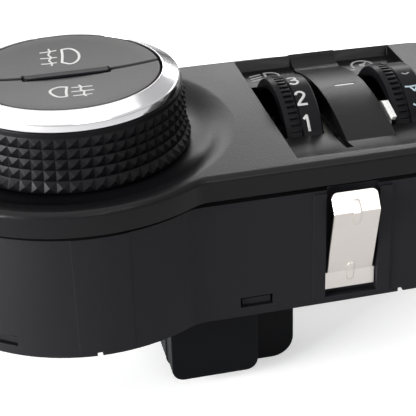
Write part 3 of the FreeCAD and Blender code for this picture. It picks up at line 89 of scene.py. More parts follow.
class Finish:  # a material while it is put together
    def __init__(self, name, colour, roughness, **fixed):
        self.material = bpy.data.materials.new(name)
        self.material.use_nodes = True
        self.tree = self.material.node_tree
        self.shader = self.tree.nodes["Principled BSDF"]
        self.shader.inputs["Base Color"].default_value = (*colour, 1)
        self.shader.inputs["Roughness"].default_value = roughness
        for socket, value in fixed.items():
            self.shader.inputs[socket.replace("_", " ")].default_value = value
        self.material.diffuse_color = (*colour, 1)

    def add(self, kind, settings=None, inputs=None, output=0):
        node = self.tree.nodes.new(kind)
        for key, value in (settings or {}).items():
            setattr(node, key, value)
        for key, value in (inputs or {}).items():
            self.feed(node.inputs[key], value)
        return Wire(self, node.outputs[output])

    def feed(self, socket, value):
        if isinstance(value, Wire):
            self.tree.links.new(value.socket, socket)
        else:
            socket.default_value = value

    def place(self):
        return self.add("ShaderNodeTexCoord", output="Object")

    def noise(self, size, detail=2, roughness=0.5, stretch=None):
        place = self.place()
        if stretch:
            place = self.add("ShaderNodeMapping", None, {"Vector": place, "Scale": stretch})
        return self.add("ShaderNodeTexNoise", None, {
            "Vector": place, "Scale": 1 / size, "Detail": detail, "Roughness": roughness})

    def cells(self, size):
        return self.add("ShaderNodeTexVoronoi", None, {"Vector": self.place(), "Scale": 1 / size})

    def shade(self, factor, low, high):  # inputs 6 and 7 and output 2 are the colour sockets
        return self.add("ShaderNodeMix", {"data_type": "RGBA"},
                        {0: factor, 6: (*low, 1), 7: (*high, 1)}, output=2)

    def show(self, **sockets):
        for name, value in sockets.items():
            self.feed(self.shader.inputs[name.replace("_", " ")], value)

    def bump(self, height, depth, strength):
        normal = self.add("ShaderNodeBump", None, {
            "Height": height, "Distance": depth, "Strength": strength})
        self.feed(self.shader.inputs["Normal"], normal)
        return self


# Moulded plastic: a fine spark-eroded grain, slow changes of gloss and a little dust; grain and
# depth in millimetres
plasticLooks = {
    "bezel": {"colour": (0.0036, 0.0034, 0.0042), "shine": 0.2, "roughness": 0.31,
              "grain": 0.26, "depth": 0.05, "dust": 0.012},
    "housing": {"colour": (0.0046, 0.0042, 0.006), "shine": 0.21, "roughness": 0.52,
                "grain": 0.34, "depth": 0.05, "dust": 0.02},
    "grip": {"colour": (0.0026, 0.0026, 0.0034), "shine": 0.13, "roughness": 0.42,
             "grain": 0.3, "depth": 0.012, "dust": 0.01},
    "button": {"colour": (0.043, 0.0405, 0.041), "shine": 0.55, "roughness": 0.5,
               "grain": 0.2, "depth": 0.04, "dust": 0.015},
    "bar": {"colour": (0.004, 0.004, 0.0055), "shine": 0.08, "roughness": 0.38,
            "grain": 0.3, "depth": 0.008, "dust": 0.01},
    "wheel": {"colour": (0.0036, 0.0036, 0.0048), "shine": 0.11, "roughness": 0.3,
              "grain": 0.3, "depth": 0.012, "dust": 0.01},
    "connector": {"colour": (0.0018, 0.0021, 0.003), "shine": 0.1, "roughness": 0.42,
                  "grain": 0.3, "depth": 0.02, "dust": 0.01},
    "inside": {"colour": (0.02, 0.02, 0.02), "shine": 0.32, "roughness": 0.5,
               "grain": 0.4, "depth": 0.02, "dust": 0.01},
    "natural": {"colour": (0.62, 0.6, 0.55), "shine": 0.32, "roughness": 0.45,
                "grain": 0.4, "depth": 0.02, "dust": 0.0},
}
plasticWear = {"slowSize": 26, "fleckSize": 1.1, "pitSize": 1.7, "paler": 1.35, "dustShare": 0.25,
               "slowPale": 0.5, "fleckPale": 0.35, "slowGloss": 0.12, "grainGloss": 0.1,
               "grainHeight": 0.7, "pitHeight": 0.5, "bump": 0.5}


def plasticFinish(name):
    look, wear = plasticLooks[name], plasticWear
    colour = look["colour"]
    made = Finish(name + "Plastic", colour, look["roughness"], Specular_IOR_Level=look["shine"])
    grain = made.noise(look["grain"] * mm, detail=3, roughness=0.6)
    pits = made.cells(look["grain"] * mm * wear["pitSize"])
    slow = made.noise(wear["slowSize"] * mm, detail=2)
    fleck = made.noise(wear["fleckSize"] * mm, detail=4, roughness=0.7)
    pale = tuple(min(1, c * wear["paler"] + look["dust"] * wear["dustShare"]) for c in colour)
    made.show(Base_Color=made.shade((slow - 0.3) * wear["slowPale"] + fleck * wear["fleckPale"],
                                    colour, pale),
              Roughness=look["roughness"] + (slow - 0.5) * wear["slowGloss"]
              + (grain - 0.5) * wear["grainGloss"])
    return made.bump(grain * wear["grainHeight"] + pits * wear["pitHeight"],
                     look["depth"] * mm, wear["bump"]).material


plastics = {name: plasticFinish(name) for name in plasticLooks}

# Metals: drawn or rolled lines along one direction and slow smears; depth in millimetres
metalLooks = {
    "chrome": {"name": "brightRingChrome", "colour": (0.86, 0.85, 0.87), "roughness": 0.15,
               "lines": (1, 1, 1), "depth": 0.002, "smear": 0.05},
    "sheet": {"name": "clipSheet", "colour": (0.82, 0.775, 0.735), "roughness": 0.34,
              "lines": (0.06, 1, 1), "depth": 0.012, "smear": 0.14},
    "turned": {"name": "turnedSteel", "colour": (0.6, 0.6, 0.61), "roughness": 0.3,
               "lines": (1, 0.05, 1), "depth": 0.006, "smear": 0.08},
    "tinned": {"name": "tinnedPin", "colour": (0.72, 0.71, 0.69), "roughness": 0.28,
               "lines": (1, 1, 0.1), "depth": 0.004, "smear": 0.08},
    "contact": {"name": "contactBrass", "colour": (0.78, 0.6, 0.3), "roughness": 0.3,
                "lines": (1, 1, 0.2), "depth": 0.004, "smear": 0.08},
}
metalWear = {"lineSize": 0.22, "slowSize": 7, "darker": 0.86, "linePale": 0.5, "slowPale": 0.4,
             "bump": 0.35}


def metalFinish(look):
    wear = metalWear
    colour, smear = look["colour"], look["smear"]
    made = Finish(look["name"], colour, look["roughness"], Metallic=1.0)
    lines = made.noise(wear["lineSize"] * mm, detail=3, roughness=0.65, stretch=look["lines"])
    slow = made.noise(wear["slowSize"] * mm, detail=3)
    dark = tuple(c * wear["darker"] for c in colour)
    made.show(Base_Color=made.shade(lines * wear["linePale"] + slow * wear["slowPale"], dark,
                                    colour),
              Roughness=look["roughness"] + (slow - 0.5) * smear + (lines - 0.5) * smear)
    return made.bump(lines, look["depth"] * mm, wear["bump"]).material


metals = {kind: metalFinish(look) for kind, look in metalLooks.items()}

# Screen-printed paint: nearly even, thinner in small spots
printLook = {"spots": 0.16, "worn": 0.72, "roughness": 0.5, "uneven": 0.15, "depth": 0.006,
             "bump": 0.4}


def printFinish(name, colour):
    look = printLook
    made = Finish(name, colour, look["roughness"])
    spots = made.noise(look["spots"] * mm, detail=3, roughness=0.7)
    worn = tuple(c * look["worn"] for c in colour)
    made.show(Base_Color=made.shade(spots, worn, colour),
              Roughness=look["roughness"] + spots * look["uneven"])
    return made.bump(spots, look["depth"] * mm, look["bump"]).material


prints = {
    "white": printFinish("whitePrint", (0.74, 0.735, 0.73)),
    "dim": printFinish("dimPrint", (0.30, 0.30, 0.30)),
    "faded": printFinish("fadedPrint", (0.45, 0.445, 0.44)),
    "pale blue": printFinish("paleBluePrint", (0.45, 0.56, 0.62)),
}

# The milky light guides, with faint clouds in them
guideLook = {"colour": (0.78, 0.77, 0.74), "thin": (0.7, 0.7, 0.68), "thick": (0.84, 0.83, 0.8),
             "clouds": 1.5, "roughness": 0.2, "uneven": 0.12, "waves": 0.5, "depth": 0.004,
             "bump": 0.3}


def guideFinish():
    look = guideLook
    made = Finish("milkyLightGuide", look["colour"], look["roughness"])
    cloud = made.noise(look["clouds"] * mm, detail=2)
    made.show(Base_Color=made.shade(cloud, look["thin"], look["thick"]),
              Roughness=look["roughness"] + cloud * look["uneven"])
    return made.bump(made.noise(look["waves"] * mm), look["depth"] * mm, look["bump"]).material


# Solder resist over copper tracks, with the glass weave just showing
boardLook = {"colour": (0.02, 0.11, 0.05), "resist": (0.018, 0.1, 0.045),
             "track": (0.03, 0.17, 0.07), "coat": 0.3, "weave": 0.8, "wander": 1.5,
             "trackSize": 3.2, "trackShare": 0.35, "roughness": 0.3, "uneven": 0.06,
             "weaveHeight": 0.2, "depth": 0.02, "bump": 0.5}


def boardFinish():
    look = boardLook
    made = Finish("boardResist", look["colour"], look["roughness"], Coat_Weight=look["coat"])
    weave = made.add("ShaderNodeTexWave", {"wave_type": "BANDS"}, {
        "Vector": made.place(), "Scale": 1 / (look["weave"] * mm),
        "Distortion": look["wander"]})
    tracks = made.cells(look["trackSize"] * mm) < look["trackShare"]
    made.show(Base_Color=made.shade(tracks, look["resist"], look["track"]),
              Roughness=look["roughness"] + weave * look["uneven"])
    return made.bump(tracks + weave * look["weaveHeight"], look["depth"] * mm,
                     look["bump"]).material


# The domes' silicone, dusted with talc
rubberLook = {"colour": (0.42, 0.41, 0.38), "bare": (0.38, 0.37, 0.34),
              "dusted": (0.5, 0.49, 0.46), "powder": 0.3, "roughness": 0.55, "uneven": 0.2,
              "depth": 0.01, "bump": 0.4}


def rubberFinish():
    look = rubberLook
    made = Finish("domeSilicone", look["colour"], look["roughness"])
    powder = made.noise(look["powder"] * mm, detail=4, roughness=0.7)
    made.show(Base_Color=made.shade(powder, look["bare"], look["dusted"]),
              Roughness=look["roughness"] + powder * look["uneven"])
    return made.bump(powder, look["depth"] * mm, look["bump"]).material


guideMaterial = guideFinish()
boardMaterial = boardFinish()
rubberMaterial = rubberFinish()

# What each carried-over node is made of
nodeFinish = {
    "rear_cover": plastics["housing"], "circuit_board": boardMaterial,
    "board_screws": metals["turned"], "bezel_screws": metals["turned"],
    "board_lights": plastics["natural"], "center_post": plastics["inside"],
    "button_light_guide": guideMaterial, "front_dome": rubberMaterial, "rear_dome": rubberMaterial,
    "knob_detent_leaf": metals["sheet"], "knob_carrier": plastics["inside"],
    "contact_wiper": metals["contact"], "front_button_rod": plastics["natural"],
    "rear_button_rod": plastics["natural"], "wheel_cradle": plastics["inside"],
    "levelling_axle": metals["turned"], "dimmer_axle": metals["turned"],
    "levelling_potentiometer": plastics["natural"], "dimmer_potentiometer": plastics["natural"],
    "levelling_detent_leaf": metals["sheet"], "dimmer_return_spring": metals["turned"],
    "pointer_light_guide": guideMaterial, "dimmer_light_guide": guideMaterial,
    "connector_pins": metals["tinned"], "bezel_panel": plastics["bezel"],
    "housing_shell": plastics["housing"], "knob_grip": plastics["grip"],
    "knob_chrome_ring": metals["chrome"], "front_fog_button": plastics["button"],
    "rear_fog_button": plastics["button"], "divider_bar": plastics["bar"],
    "levelling_wheel": plastics["wheel"], "dimmer_wheel": plastics["wheel"],
    "spring_clip_front": metals["sheet"], "spring_clip_rear": metals["sheet"],
    "connector_shroud": plastics["connector"],
}
for name, material in nodeFinish.items():
    nodes[name].data.materials.clear()
    nodes[name].data.materials.append(material)
print("finishes ready")

# How meshes are cleaned and shaded: lengths in millimetres, angles in degrees
meshing = {"merge": 0.002, "flat": 0.6, "cut": 0.0001, "smooth": 38, "sharp": 28, "weight": 60}


def only(piece):  # select one piece and nothing else
    bpy.ops.object.select_all(action="DESELECT")
    piece.hide_set(False)
    piece.select_set(True)
    bpy.context.view_layer.objects.active = piece
    return piece


def applied(piece, kind, **settings):
    modifier = only(piece).modifiers.new(kind.lower(), kind)
    for key, value in settings.items():
        setattr(modifier, key, value)
    bpy.ops.object.modifier_apply(modifier=modifier.name)


def finished(piece, name, body, slot, material, *replaced):
    only(piece)
    bpy.ops.object.transform_apply(location=True, rotation=True, scale=True)
    piece.name = piece.data.name = name
    piece.data.materials.clear()
    piece.data.materials.append(material)
    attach(piece, body)
    if replaced:
        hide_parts(*replaced)
    return piece


def turnOut():  # in edit mode: turn all faces outward
    bpy.ops.mesh.select_all(action="SELECT")
    bpy.ops.mesh.normals_make_consistent(inside=False)


def cutLevel(place, direction, **kept):  # in edit mode: cut at a plane and close the cut
    bpy.ops.mesh.select_all(action="SELECT")
    bpy.ops.mesh.bisect(plane_co=place, plane_no=direction, use_fill=True,
                        threshold=meshing["cut"] * mm, **kept)


def outward(piece):
    only(piece)
    bpy.ops.object.mode_set(mode="EDIT")
    turnOut()
    bpy.ops.object.mode_set(mode="OBJECT")


def smoothed(piece):  # smooth shading with the sharp edges kept
    only(piece)
    bpy.ops.object.shade_smooth_by_angle(angle=math.radians(meshing["smooth"]))


def copied(node):
    # the node's own mesh once more, merged and with its flat faces whole
    piece = nodes[node].copy()
    piece.data = nodes[node].data.copy()
    bpy.context.collection.objects.link(piece)
    piece.parent = None
    piece.matrix_world = Matrix.Identity(4)
    only(piece)
    bpy.ops.object.mode_set(mode="EDIT")
    bpy.ops.mesh.select_all(action="SELECT")
    bpy.ops.mesh.remove_doubles(threshold=meshing["merge"] * mm)
    bpy.ops.mesh.dissolve_limited(angle_limit=math.radians(meshing["flat"]))
    bpy.ops.object.mode_set(mode="OBJECT")
    return piece


# Millimetres off each key's straight edge, so that the joint between both keys reads dark
keyTrim = {"front_fog_button": 0.27, "rear_fog_button": -0.27}


def trimmed(node):  # the key's copy, which is the active piece
    low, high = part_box(node)
    trim = keyTrim[node]
    edge = (low.y if trim > 0 else high.y) + trim * mm
    bpy.ops.object.mode_set(mode="EDIT")
    cutLevel((0, edge, 0), (0, math.copysign(1, trim), 0), clear_inner=True)
    turnOut()
    bpy.ops.object.mode_set(mode="OBJECT")


def softened(node, name, body, slot, edge, steps=2, angle=meshing["sharp"]):
    # the copy with its hard moulded edges rounded
    piece = copied(node)
    if node in keyTrim:
        trimmed(node)
    applied(piece, "BEVEL", limit_method="ANGLE", angle_limit=math.radians(angle),
            width=edge * mm, segments=steps, use_clamp_overlap=False, miter_outer="MITER_ARC")
    smoothed(piece)
    applied(piece, "WEIGHTED_NORMAL", keep_sharp=True, weight=meshing["weight"])
    return finished(piece, name, body, slot, nodeFinish[node], node)


# A thin, nearly black band that fills the joint under the bezel's rim as painted shade for its
# shadow, in millimetres
shadeBandSizes = {"top": -0.12, "bottom": -1.42, "proud": 0.07, "edge": 0.03, "sharp": 50}
shadeBandLook = {"colour": (0.0012, 0.0012, 0.0014), "dark": (0.0008, 0.0008, 0.001),
            "pale": (0.0025, 0.0025, 0.0028), "shine": 0.05, "pores": 0.22, "clouds": 0.5,
            "roughness": 0.85, "uneven": 0.1, "cloudHeight": 0.5, "depth": 0.03, "bump": 0.6}


# Nearly black with faint pores and clouds: the painted shade in the joint under the rim
def shadeBandFinish():
    look = shadeBandLook
    made = Finish("paintedShadeBand", look["colour"], look["roughness"], Specular_IOR_Level=look["shine"])
    pores = made.cells(look["pores"] * mm)
    cloud = made.noise(look["clouds"] * mm, detail=3)
    made.show(Base_Color=made.shade(cloud, look["dark"], look["pale"]),
              Roughness=look["roughness"] + cloud * look["uneven"])
    return made.bump(pores + cloud * look["cloudHeight"], look["depth"] * mm,
                     look["bump"]).material


def rimShadeBand():
    # a slice of the housing's wall, grown a little so that it stands proud; its nearly black
    # colour is painted shade
    look = shadeBandSizes
    piece = copied("housing_shell")
    bpy.ops.object.mode_set(mode="EDIT")
    cutLevel((0, 0, look["top"] * mm), (0, 0, 1), clear_outer=True)
    cutLevel((0, 0, look["bottom"] * mm), (0, 0, 1), clear_inner=True)
    turnOut()
    bpy.ops.transform.shrink_fatten(value=look["proud"] * mm)
    bpy.ops.object.mode_set(mode="OBJECT")
    applied(piece, "BEVEL", limit_method="ANGLE", angle_limit=math.radians(look["sharp"]),
            width=look["edge"] * mm, segments=1, use_clamp_overlap=True)
    smoothed(piece)
    finished(piece, "rimShadeBand", "base", "housing_plastic", shadeBandFinish())


# Painted shade: a nearly black band under the bezel's rim, where the joint lies in shadow
rimShadeBand()
print("seal laid")

# Name, body, slot, width of the rounding in millimetres, its steps, and the smallest angle
# between faces that is rounded, where it isn't the usual one
softenedPieces = {
    "bezel_panel": ("bezelSkin", "base", "bezel_plastic", 0.16, 2, 50),
    "housing_shell": ("housingSkin", "base", "housing_plastic", 0.06, 2, 40),
    "knob_grip": ("knurledGrip", "knob", "knob_plastic", 0.07, 1),
    "knob_chrome_ring": ("brightRing", "knob", "bright_ring", 0.3, 3),
    "front_fog_button": ("frontFogKey", "front_button", "button_plastic", 0.12, 3),
    "rear_fog_button": ("rearFogKey", "rear_button", "button_plastic", 0.12, 3),
    "divider_bar": ("dividerBar", "base", "knob_plastic", 0.28, 3),
    "levelling_wheel": ("levellingDrum", "levelling_roller", "wheel_plastic", 0.09, 2),
    "dimmer_wheel": ("dimmerDrum", "dimmer_roller", "wheel_plastic", 0.09, 2),
    "spring_clip_front": ("frontClip", "base", "spring_steel", 0.05, 1),
    "spring_clip_rear": ("rearClip", "base", "spring_steel", 0.05, 1),
    "connector_shroud": ("plugSocket", "base", "housing_plastic", 0.25, 2),
}
for node, (name, body, slot, edge, steps, *angle) in softenedPieces.items():
    softened(node, name, body, slot, edge, steps, *angle)

# Rubber domes, rounded like the moulded pieces; the real ones give way under the buttons' rods,
# down to this share of their height
domes = {"front_dome": ("frontDome", "front_fog_press"),
         "rear_dome": ("rearDome", "rear_fog_press")}
domeLook = {"edge": 0.12, "steps": 2, "left": 0.54}
for node, (name, press) in domes.items():
    low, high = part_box(node)
    middle = ((low.x + high.x) / 2, (low.y + high.y) / 2, low.z)
    piece = softened(node, name, "base", "dome_rubber", domeLook["edge"], domeLook["steps"])
    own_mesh(piece)
    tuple(middle)
print("moulded pieces softened")

# A printed line's height over the surface in millimetres, and how finely it is divided
inkLine = {"height": 0.04, "order": 3, "steps": 5, "round": 3}


def stroke(points, width, closed=False):
    # one printed line: a tube along the points, pressed flat
    bpy.ops.object.select_all(action="DESELECT")
    bpy.ops.curve.primitive_bezier_curve_add(location=(0, 0, 0))
    line = bpy.context.object
    line.data.splines.clear()
    spline = line.data.splines.new("NURBS")
    spline.points.add(len(points) - 1)
    for point, (x, y) in zip(spline.points, points):
        point.co = (x, y, 0, 1)
    spline.use_cyclic_u = closed
    spline.order_u = inkLine["order"]
    spline.use_endpoint_u = not closed
    spline.resolution_u = inkLine["steps"]
    line.data.bevel_depth = width / 2
    line.data.bevel_resolution = inkLine["round"]
    line.data.use_fill_caps = True
    only(line)
    bpy.ops.object.convert(target="MESH")
    piece = bpy.context.object
    flatter = inkLine["height"] * mm / (width / 2)
    for vertex in piece.data.vertices:
        vertex.co.z *= flatter
    return piece


def joined(pieces):
    bpy.ops.object.select_all(action="DESELECT")
    for piece in pieces:
        piece.select_set(True)
    bpy.context.view_layer.objects.active = pieces[0]
    bpy.ops.object.join()
    return bpy.context.object


def symbol(name, strokes, wrap, body, slot, material):
    # flat strokes joined, laid onto a surface by wrap(x, y, height)
    piece = joined([stroke(**line) for line in strokes])
    for vertex in piece.data.vertices:
        vertex.co = wrap(*vertex.co)
    outward(piece)
    bpy.ops.object.shade_smooth()
    finished(piece, name, body, slot, material)


def inked(shapes, width, closed=()):  # shapes in millimetres as stroke's arguments
    return [{"points": [(x * mm, y * mm) for x, y in shape], "closed": shape in closed,
             "width": width * mm} for shape in shapes]


# Both fog lamp symbols, in millimetres from the knob's axis; they lie in the buttons' dish
fogPrint = {"lampWidth": 0.54, "beamWidth": 0.4, "dishDepth": 1.0, "dishRadius": 17.6}
frontFogLines = {
    "lamp": [(0.0, 6.2), (0.0, 6.2), (0.55, 9.2), (0.7, 12.0), (0.7, 12.0), (2.5, 12.3),
             (3.9, 9.8), (3.5, 6.5), (1.7, 4.7)],
    "beams": [[(-3.8, 11.5), (-2.2, 11.5), (-0.4, 11.9)], [(-4.0, 8.9), (-2.2, 8.7), (-0.7, 8.8)],
              [(-4.1, 6.3), (-2.5, 6.1), (-1.0, 6.4)]],
    "wave": [(-1.9, 12.9), (-1.5, 11.6), (-2.4, 10.3), (-1.6, 8.9), (-2.6, 7.6), (-1.8, 6.4),
             (-2.2, 5.1)]}
rearFogLines = {
    "lamp": [(-0.7, -6.1), (-0.7, -6.1), (-1.2, -8.6), (-1.35, -11.0), (-1.35, -11.0),
             (-3.0, -11.1), (-4.2, -8.5), (-4.0, -6.7), (-2.2, -5.5)],
    "beams": [[(0.05, -6.7), (4.0, -7.1)], [(-0.25, -8.8), (4.0, -9.2)],
              [(-0.2, -11.1), (3.4, -11.2)]],
    "wave": [(1.6, -5.8), (2.1, -7.0), (1.4, -8.2), (2.3, -9.4), (1.7, -10.8), (2.2, -12.1)]}


def fogSymbol(name, button, body, drawn):
    look = fogPrint
    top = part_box(button)[1].z
    depth, radius = look["dishDepth"] * mm, look["dishRadius"] * mm
    curve = (radius * radius + depth * depth) / (2 * depth)

    def onDish(x, y, height):
        fall = depth - (curve - math.sqrt(curve * curve - x * x - y * y))
        return Vector((x, y, top - fall + height))

    lines = inked([drawn["lamp"]], look["lampWidth"], [drawn["lamp"]]) + inked(
        [drawn["wave"], *drawn["beams"]], look["beamWidth"])
    symbol(name, lines, onDish, body, "button_plastic", prints["white"])


fogSymbol("frontFogSymbol", "front_fog_button", "front_button", frontFogLines)
fogSymbol("rearFogSymbol", "rear_fog_button", "rear_button", rearFogLines)

# Figures and marks round the thumbwheels; angles run from the top towards the user
wheelPrint = {"axleY": 1.6, "axleZ": -5.7, "bandRadius": 14.5, "figureX": 45.9, "markX": 69.2,
              "width": 0.56, "markWidth": 0.4,
              "angles": {"3": -1.3, "2": 23.8, "1": 47.0, "0": 71.0}}
figures = {
    "0": [[(-0.85, 0.9), (-0.6, 1.65), (0.6, 1.65), (0.85, 0.9), (0.85, -0.9), (0.6, -1.65),
           (-0.6, -1.65), (-0.85, -0.9)]],
    "1": [[(-0.65, 0.9), (0.1, 1.65), (0.1, 1.65), (0.1, -1.7)]],
    "2": [[(-0.85, 0.95), (-0.75, 1.6), (0.3, 1.9), (0.95, 1.1), (0.6, 0.2), (-0.5, -0.9),
           (-0.95, -1.65), (-0.95, -1.65), (0.95, -1.65)]],
    "3": [[(-0.8, 1.3), (-0.3, 1.75), (0.8, 1.6), (0.8, 0.5), (0.1, 0.1), (-0.2, 0.1), (-0.2, 0.1),
           (0.7, 0.0), (1.0, -0.9), (0.4, -1.8), (-0.4, -1.75), (-0.9, -1.3)]],
}


def onWheel(x, turned):
    look = wheelPrint
    radius = look["bandRadius"] * mm

    def wrap(u, v, height):
        angle = math.radians(turned) - v / radius
        reach = radius + height
        return Vector((x * mm + u, look["axleY"] * mm - reach * math.sin(angle),
                       look["axleZ"] * mm + reach * math.cos(angle)))
    return wrap


for figure, turned in wheelPrint["angles"].items():
    lines = inked(figures[figure], wheelPrint["width"], figures["0"])
    symbol("levelFigure" + figure, lines, onWheel(wheelPrint["figureX"], turned),
           "levelling_roller", "wheel_plastic", prints["white"])

# Each mark's angle round the dimmer wheel, its lines and its ink
dimmerMarks = {
    "dimmerArc": (10.0, [[(-0.75, 0.3), (-0.3, -0.15), (0.3, -0.15), (0.75, 0.3)]], "dim"),
    "dimmerArrow": (27.5, [[(-1.5, 0.5), (-0.5, 0.4)], [(-0.5, 0.4), (1.2, 0.5), (1.2, 0.5),
                           (0.3, -0.8), (0.3, -0.8), (-0.5, 0.4)]], "pale blue"),
    "dimmerLine": (45.0, [[(-0.9, 0.7), (1.0, -0.6)]], "pale blue"),
}
for name, (turned, shapes, ink) in dimmerMarks.items():
    symbol(name, inked(shapes, wheelPrint["markWidth"]), onWheel(wheelPrint["markX"], turned),
           "dimmer_roller", "wheel_plastic", prints[ink])

# Symbols behind the wheels, on the floors of the finger troughs
troughPrint = {"floor": 2.5, "rise": 0.2, "start": -10.7, "run": 33.4, "middleY": 19.0,
               "levelling": 44.6, "dimmer": 66.9, "width": 0.55}


def onFloor(x):
    def wrap(u, v, height):
        y = troughPrint["middleY"] * mm + v
        share = (y / mm - troughPrint["start"]) / troughPrint["run"]
        level = (troughPrint["floor"] + troughPrint["rise"] * share) * mm
        return Vector((x * mm + u, y, level + height))
    return wrap


def arcLine(radius, start, end, steps=9):
    turns = [math.radians(start + (end - start) * k / (steps - 1)) for k in range(steps)]
    return [(radius * math.cos(t), radius * math.sin(t)) for t in turns]


levellingStrokes = [
    [(0.4, 1.9), (1.9, 2.0), (3.3, 0.9), (3.3, -0.9), (1.9, -2.0), (0.4, -1.9), (0.4, -1.9),
     (0.4, 1.9)],
    [(-0.5, 1.5), (-3.2, 0.7)], [(-0.5, 0.3), (-3.2, -0.5)], [(-0.5, -0.9), (-3.2, -1.7)]]
dimmerStrokes = [
    arcLine(2.4, -30, 210), [(0, 0), (1.2, 1.3)], arcLine(0.5, 0, 330),
    [(-3.3, -1.9), (-2.2, -1.9)], [(2.2, -1.9), (3.3, -1.9)]]
for name, middle, shapes in (("levellingSymbol", "levelling", levellingStrokes),
                             ("dimmerSymbol", "dimmer", dimmerStrokes)):
    symbol(name, inked(shapes, troughPrint["width"]), onFloor(troughPrint[middle]), "base",
           "bezel_plastic", prints["faded"])
print("symbols printed")

# Pressed ribs that stiffen both bends of each clip, in millimetres: lengths before and after
# each bend; smaller shares of ends and crown make them blunter
clipRibs = {"middleX": 49.55, "bendZ": -5.6, "tabTop": -20.4, "width": 1.7, "height": 0.34,
            "flapDepth": 2.25, "sheet": 0.5, "upper": (2.6, 3.0), "lower": (2.0, 2.2),
            "ends": 0.35, "crown": 0.45, "buried": 0.2, "round": 32, "along": 56}


def clipLine(node, side):  # the sheet's outer corners from the tab up, and its lower end
    low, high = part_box(node)
    back = high.y if side < 0 else low.y
    front = low.y if side < 0 else high.y
    tab = back + side * clipRibs["sheet"] * mm
    bend = Vector((0, front, clipRibs["bendZ"] * mm))
    foot = Vector((0, tab, clipRibs["tabTop"] * mm))
    top = Vector((0, front - side * clipRibs["flapDepth"] * mm, high.z))
    return foot, bend, top, Vector((0, tab, low.z))


def clipRib(name, side, corner, before, after, lengths):
    # a sphere drawn out along the sheet, over the bend, with blunt ends
    look = clipRibs
    half = look["width"] / 2 * mm
    ahead, behind = (before - corner).normalized(), (after - corner).normalized()
    middle = (lengths[0] - lengths[1]) / 2 * mm
    reach = (lengths[0] + lengths[1]) / 2 * mm
    bpy.ops.object.select_all(action="DESELECT")
    bpy.ops.mesh.primitive_uv_sphere_add(segments=look["round"], ring_count=look["along"],
                                         radius=1)
    piece = bpy.context.object
    for vertex in piece.data.vertices:
        x, y, z = vertex.co
        ring = max(math.sqrt(max(1 - z * z, 0)), 1e-4)  # never nothing, at the poles too
        blunt = ring ** look["ends"]
        along = middle + z * reach
        lift = abs(y) ** look["crown"] * look["height"] * mm
        out = side * (lift if y * side > 0 else -look["buried"] * mm)
        vertex.co = corner + (ahead * along if along > 0 else behind * -along) + Vector(
            (look["middleX"] * mm + x / ring * blunt * half, out, 0))
    outward(piece)
    bpy.ops.object.shade_smooth()
    finished(piece, name, "base", "spring_steel", metals["sheet"])


for node, side, label in (("spring_clip_front", -1, "front"), ("spring_clip_rear", 1, "rear")):
    foot, bend, top, low = clipLine(node, side)
    clipRib(label + "UpperRib", side, bend, top, foot, clipRibs["upper"])
    clipRib(label + "LowerRib", side, foot, bend, low, clipRibs["lower"])
print("clip ribs pressed")

# The room: a pale floor under the plug socket, white all round, soft lamps; the floor is paler
# to the camera, and in part to mirrors, than the light that it throws back
room = {"floorGap": 0.4, "floorSize": 3.0, "floorShade": 0.92, "bounceShade": 0.3, "glow": 0.43,
        "shineGlow": 0.14, "shineShare": 0.6, "floorRoughness": 0.9, "worldLight": 0.3}


def roomFloor():
    level = min(corner[2] for corner in cadBounds) - room["floorGap"] * mm
    bpy.ops.object.select_all(action="DESELECT")
    bpy.ops.mesh.primitive_plane_add(size=room["floorSize"], location=(0, 0, level))
    floor = bpy.context.object
    floor.name = "floor"
    made = Finish("paleFloor", (room["floorShade"],) * 3, room["floorRoughness"],
                  Specular_IOR_Level=0.0)
    seen = made.add("ShaderNodeLightPath", output="Is Camera Ray")
    shone = made.add("ShaderNodeLightPath", output="Is Glossy Ray")
    made.show(Base_Color=made.shade(seen + shone * room["shineShare"],
                                    (room["bounceShade"],) * 3, (room["floorShade"],) * 3),
              Emission_Strength=seen * room["glow"] + shone * room["shineGlow"])
    made.shader.inputs["Emission Color"].default_value = (1, 1, 1, 1)
    floor.data.materials.append(made.material)


# What mirrors see: the strength in front of the part and behind it with the directions it changes
# between, the strength near the floor, and the heights between which that gives way
roomShine = {"depth": (0.85, 0.55, -0.6, 0.6), "low": 0.12, "heights": (0.02, 0.2)}


def roomWorld():
    world = bpy.data.worlds.new("room")
    bpy.context.scene.world = world
    world.use_nodes = True
    tree = world.node_tree
    paper = tree.nodes["Background"]
    paper.inputs["Color"].default_value = (1, 1, 1, 1)
    path = tree.nodes.new("ShaderNodeLightPath")
    ways = tree.nodes.new("ShaderNodeSeparateXYZ")
    tree.links.new(tree.nodes.new("ShaderNodeTexCoord").outputs["Generated"], ways.inputs[0])

    def mapped(value, low, high, fromLow=0.0, fromHigh=1.0):
        change = tree.nodes.new("ShaderNodeMapRange")
        tree.links.new(value, change.inputs["Value"])
        for name, wanted in (("From Min", fromLow), ("From Max", fromHigh), ("To Min", low),
                             ("To Max", high)):
            if isinstance(wanted, float):
                change.inputs[name].default_value = wanted
            else:
                tree.links.new(wanted, change.inputs[name])
        return change.outputs["Result"]

    # Mirrors see a room that is a little brighter in front than behind, and dim near the floor
    depth = mapped(ways.outputs["Y"], *roomShine["depth"])
    shine = mapped(ways.outputs["Z"], roomShine["low"], depth, *roomShine["heights"])
    strength = mapped(path.outputs["Is Glossy Ray"], room["worldLight"], shine)
    strength = mapped(path.outputs["Is Camera Ray"], strength, 1.0)
    strength = mapped(path.outputs["Is Transmission Ray"], strength, 1.0)
    tree.links.new(strength, paper.inputs["Strength"])


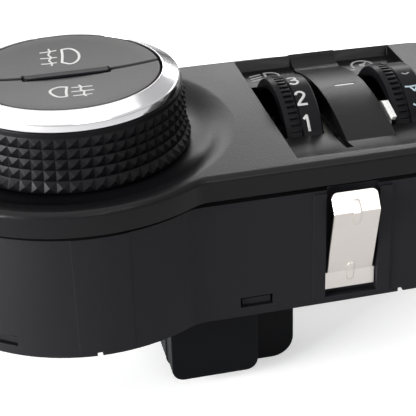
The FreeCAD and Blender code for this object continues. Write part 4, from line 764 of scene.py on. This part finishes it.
# Area lamps, in metres and watts
lampAim = (0.025, 0, 0)
lamps = {
    "back": {"place": (0.14, 0.26, 0.112), "size": (0.6, 0.05), "power": 0.5},
    "overhead": {"place": (-0.15, 0.02, 0.7), "size": (1.2, 1.2), "power": 3.9},
    "left": {"place": (-0.85, -0.3, 0.12), "size": (0.45, 0.45), "power": 20.0},
    "front": {"place": (0.22, -0.76, 0.44), "size": (0.5, 0.2), "power": 1.25},
}


def roomLamps():
    for name, look in lamps.items():
        bpy.ops.object.select_all(action="DESELECT")
        bpy.ops.object.light_add(type="AREA", location=look["place"])
        lamp = bpy.context.object
        lamp.name = name + "Lamp"
        lamp.data.shape = "RECTANGLE"
        lamp.data.size, lamp.data.size_y = look["size"]
        lamp.data.energy = look["power"]
        away = Vector(lampAim) - lamp.location
        lamp.rotation_euler = away.to_track_quat("-Z", "Y").to_euler()


# The photograph's viewpoint, solved from its own edges: millimetres, degrees, and the focal
# length and the width in the picture's own dots; what the camera sees, in metres
viewpoint = {"place": (-23.514, -232.692, 115.361), "azimuth": -12.26, "height": 29.06,
             "roll": -1.91, "focal": 1302.66, "width": 416, "sensor": 36, "sees": (0.01, 20)}


def photoCamera():
    look = viewpoint
    az, el, roll = (math.radians(look[key]) for key in ("azimuth", "height", "roll"))
    back = Vector((math.sin(az) * math.cos(el), -math.cos(az) * math.cos(el), math.sin(el)))
    right = Vector((math.cos(az), math.sin(az), 0))
    up = back.cross(right)
    right, up = (math.cos(roll) * right + math.sin(roll) * up,
                 -math.sin(roll) * right + math.cos(roll) * up)
    bpy.ops.object.select_all(action="DESELECT")
    bpy.ops.object.camera_add()
    camera = bpy.context.object
    camera.matrix_world = Matrix.Translation(Vector(look["place"]) * mm) @ Matrix(
        (right, up, back)).transposed().to_4x4()
    camera.data.sensor_width = look["sensor"]
    camera.data.lens = look["focal"] / look["width"] * look["sensor"]
    camera.data.clip_start, camera.data.clip_end = look["sees"]
    bpy.context.scene.camera = camera


roomFloor()
roomWorld()
roomLamps()
photoCamera()
bpy.context.scene.view_settings.view_transform = "Standard"
print("room, lamps and camera set")

bpy.ops.object.select_all(action="DESELECT")
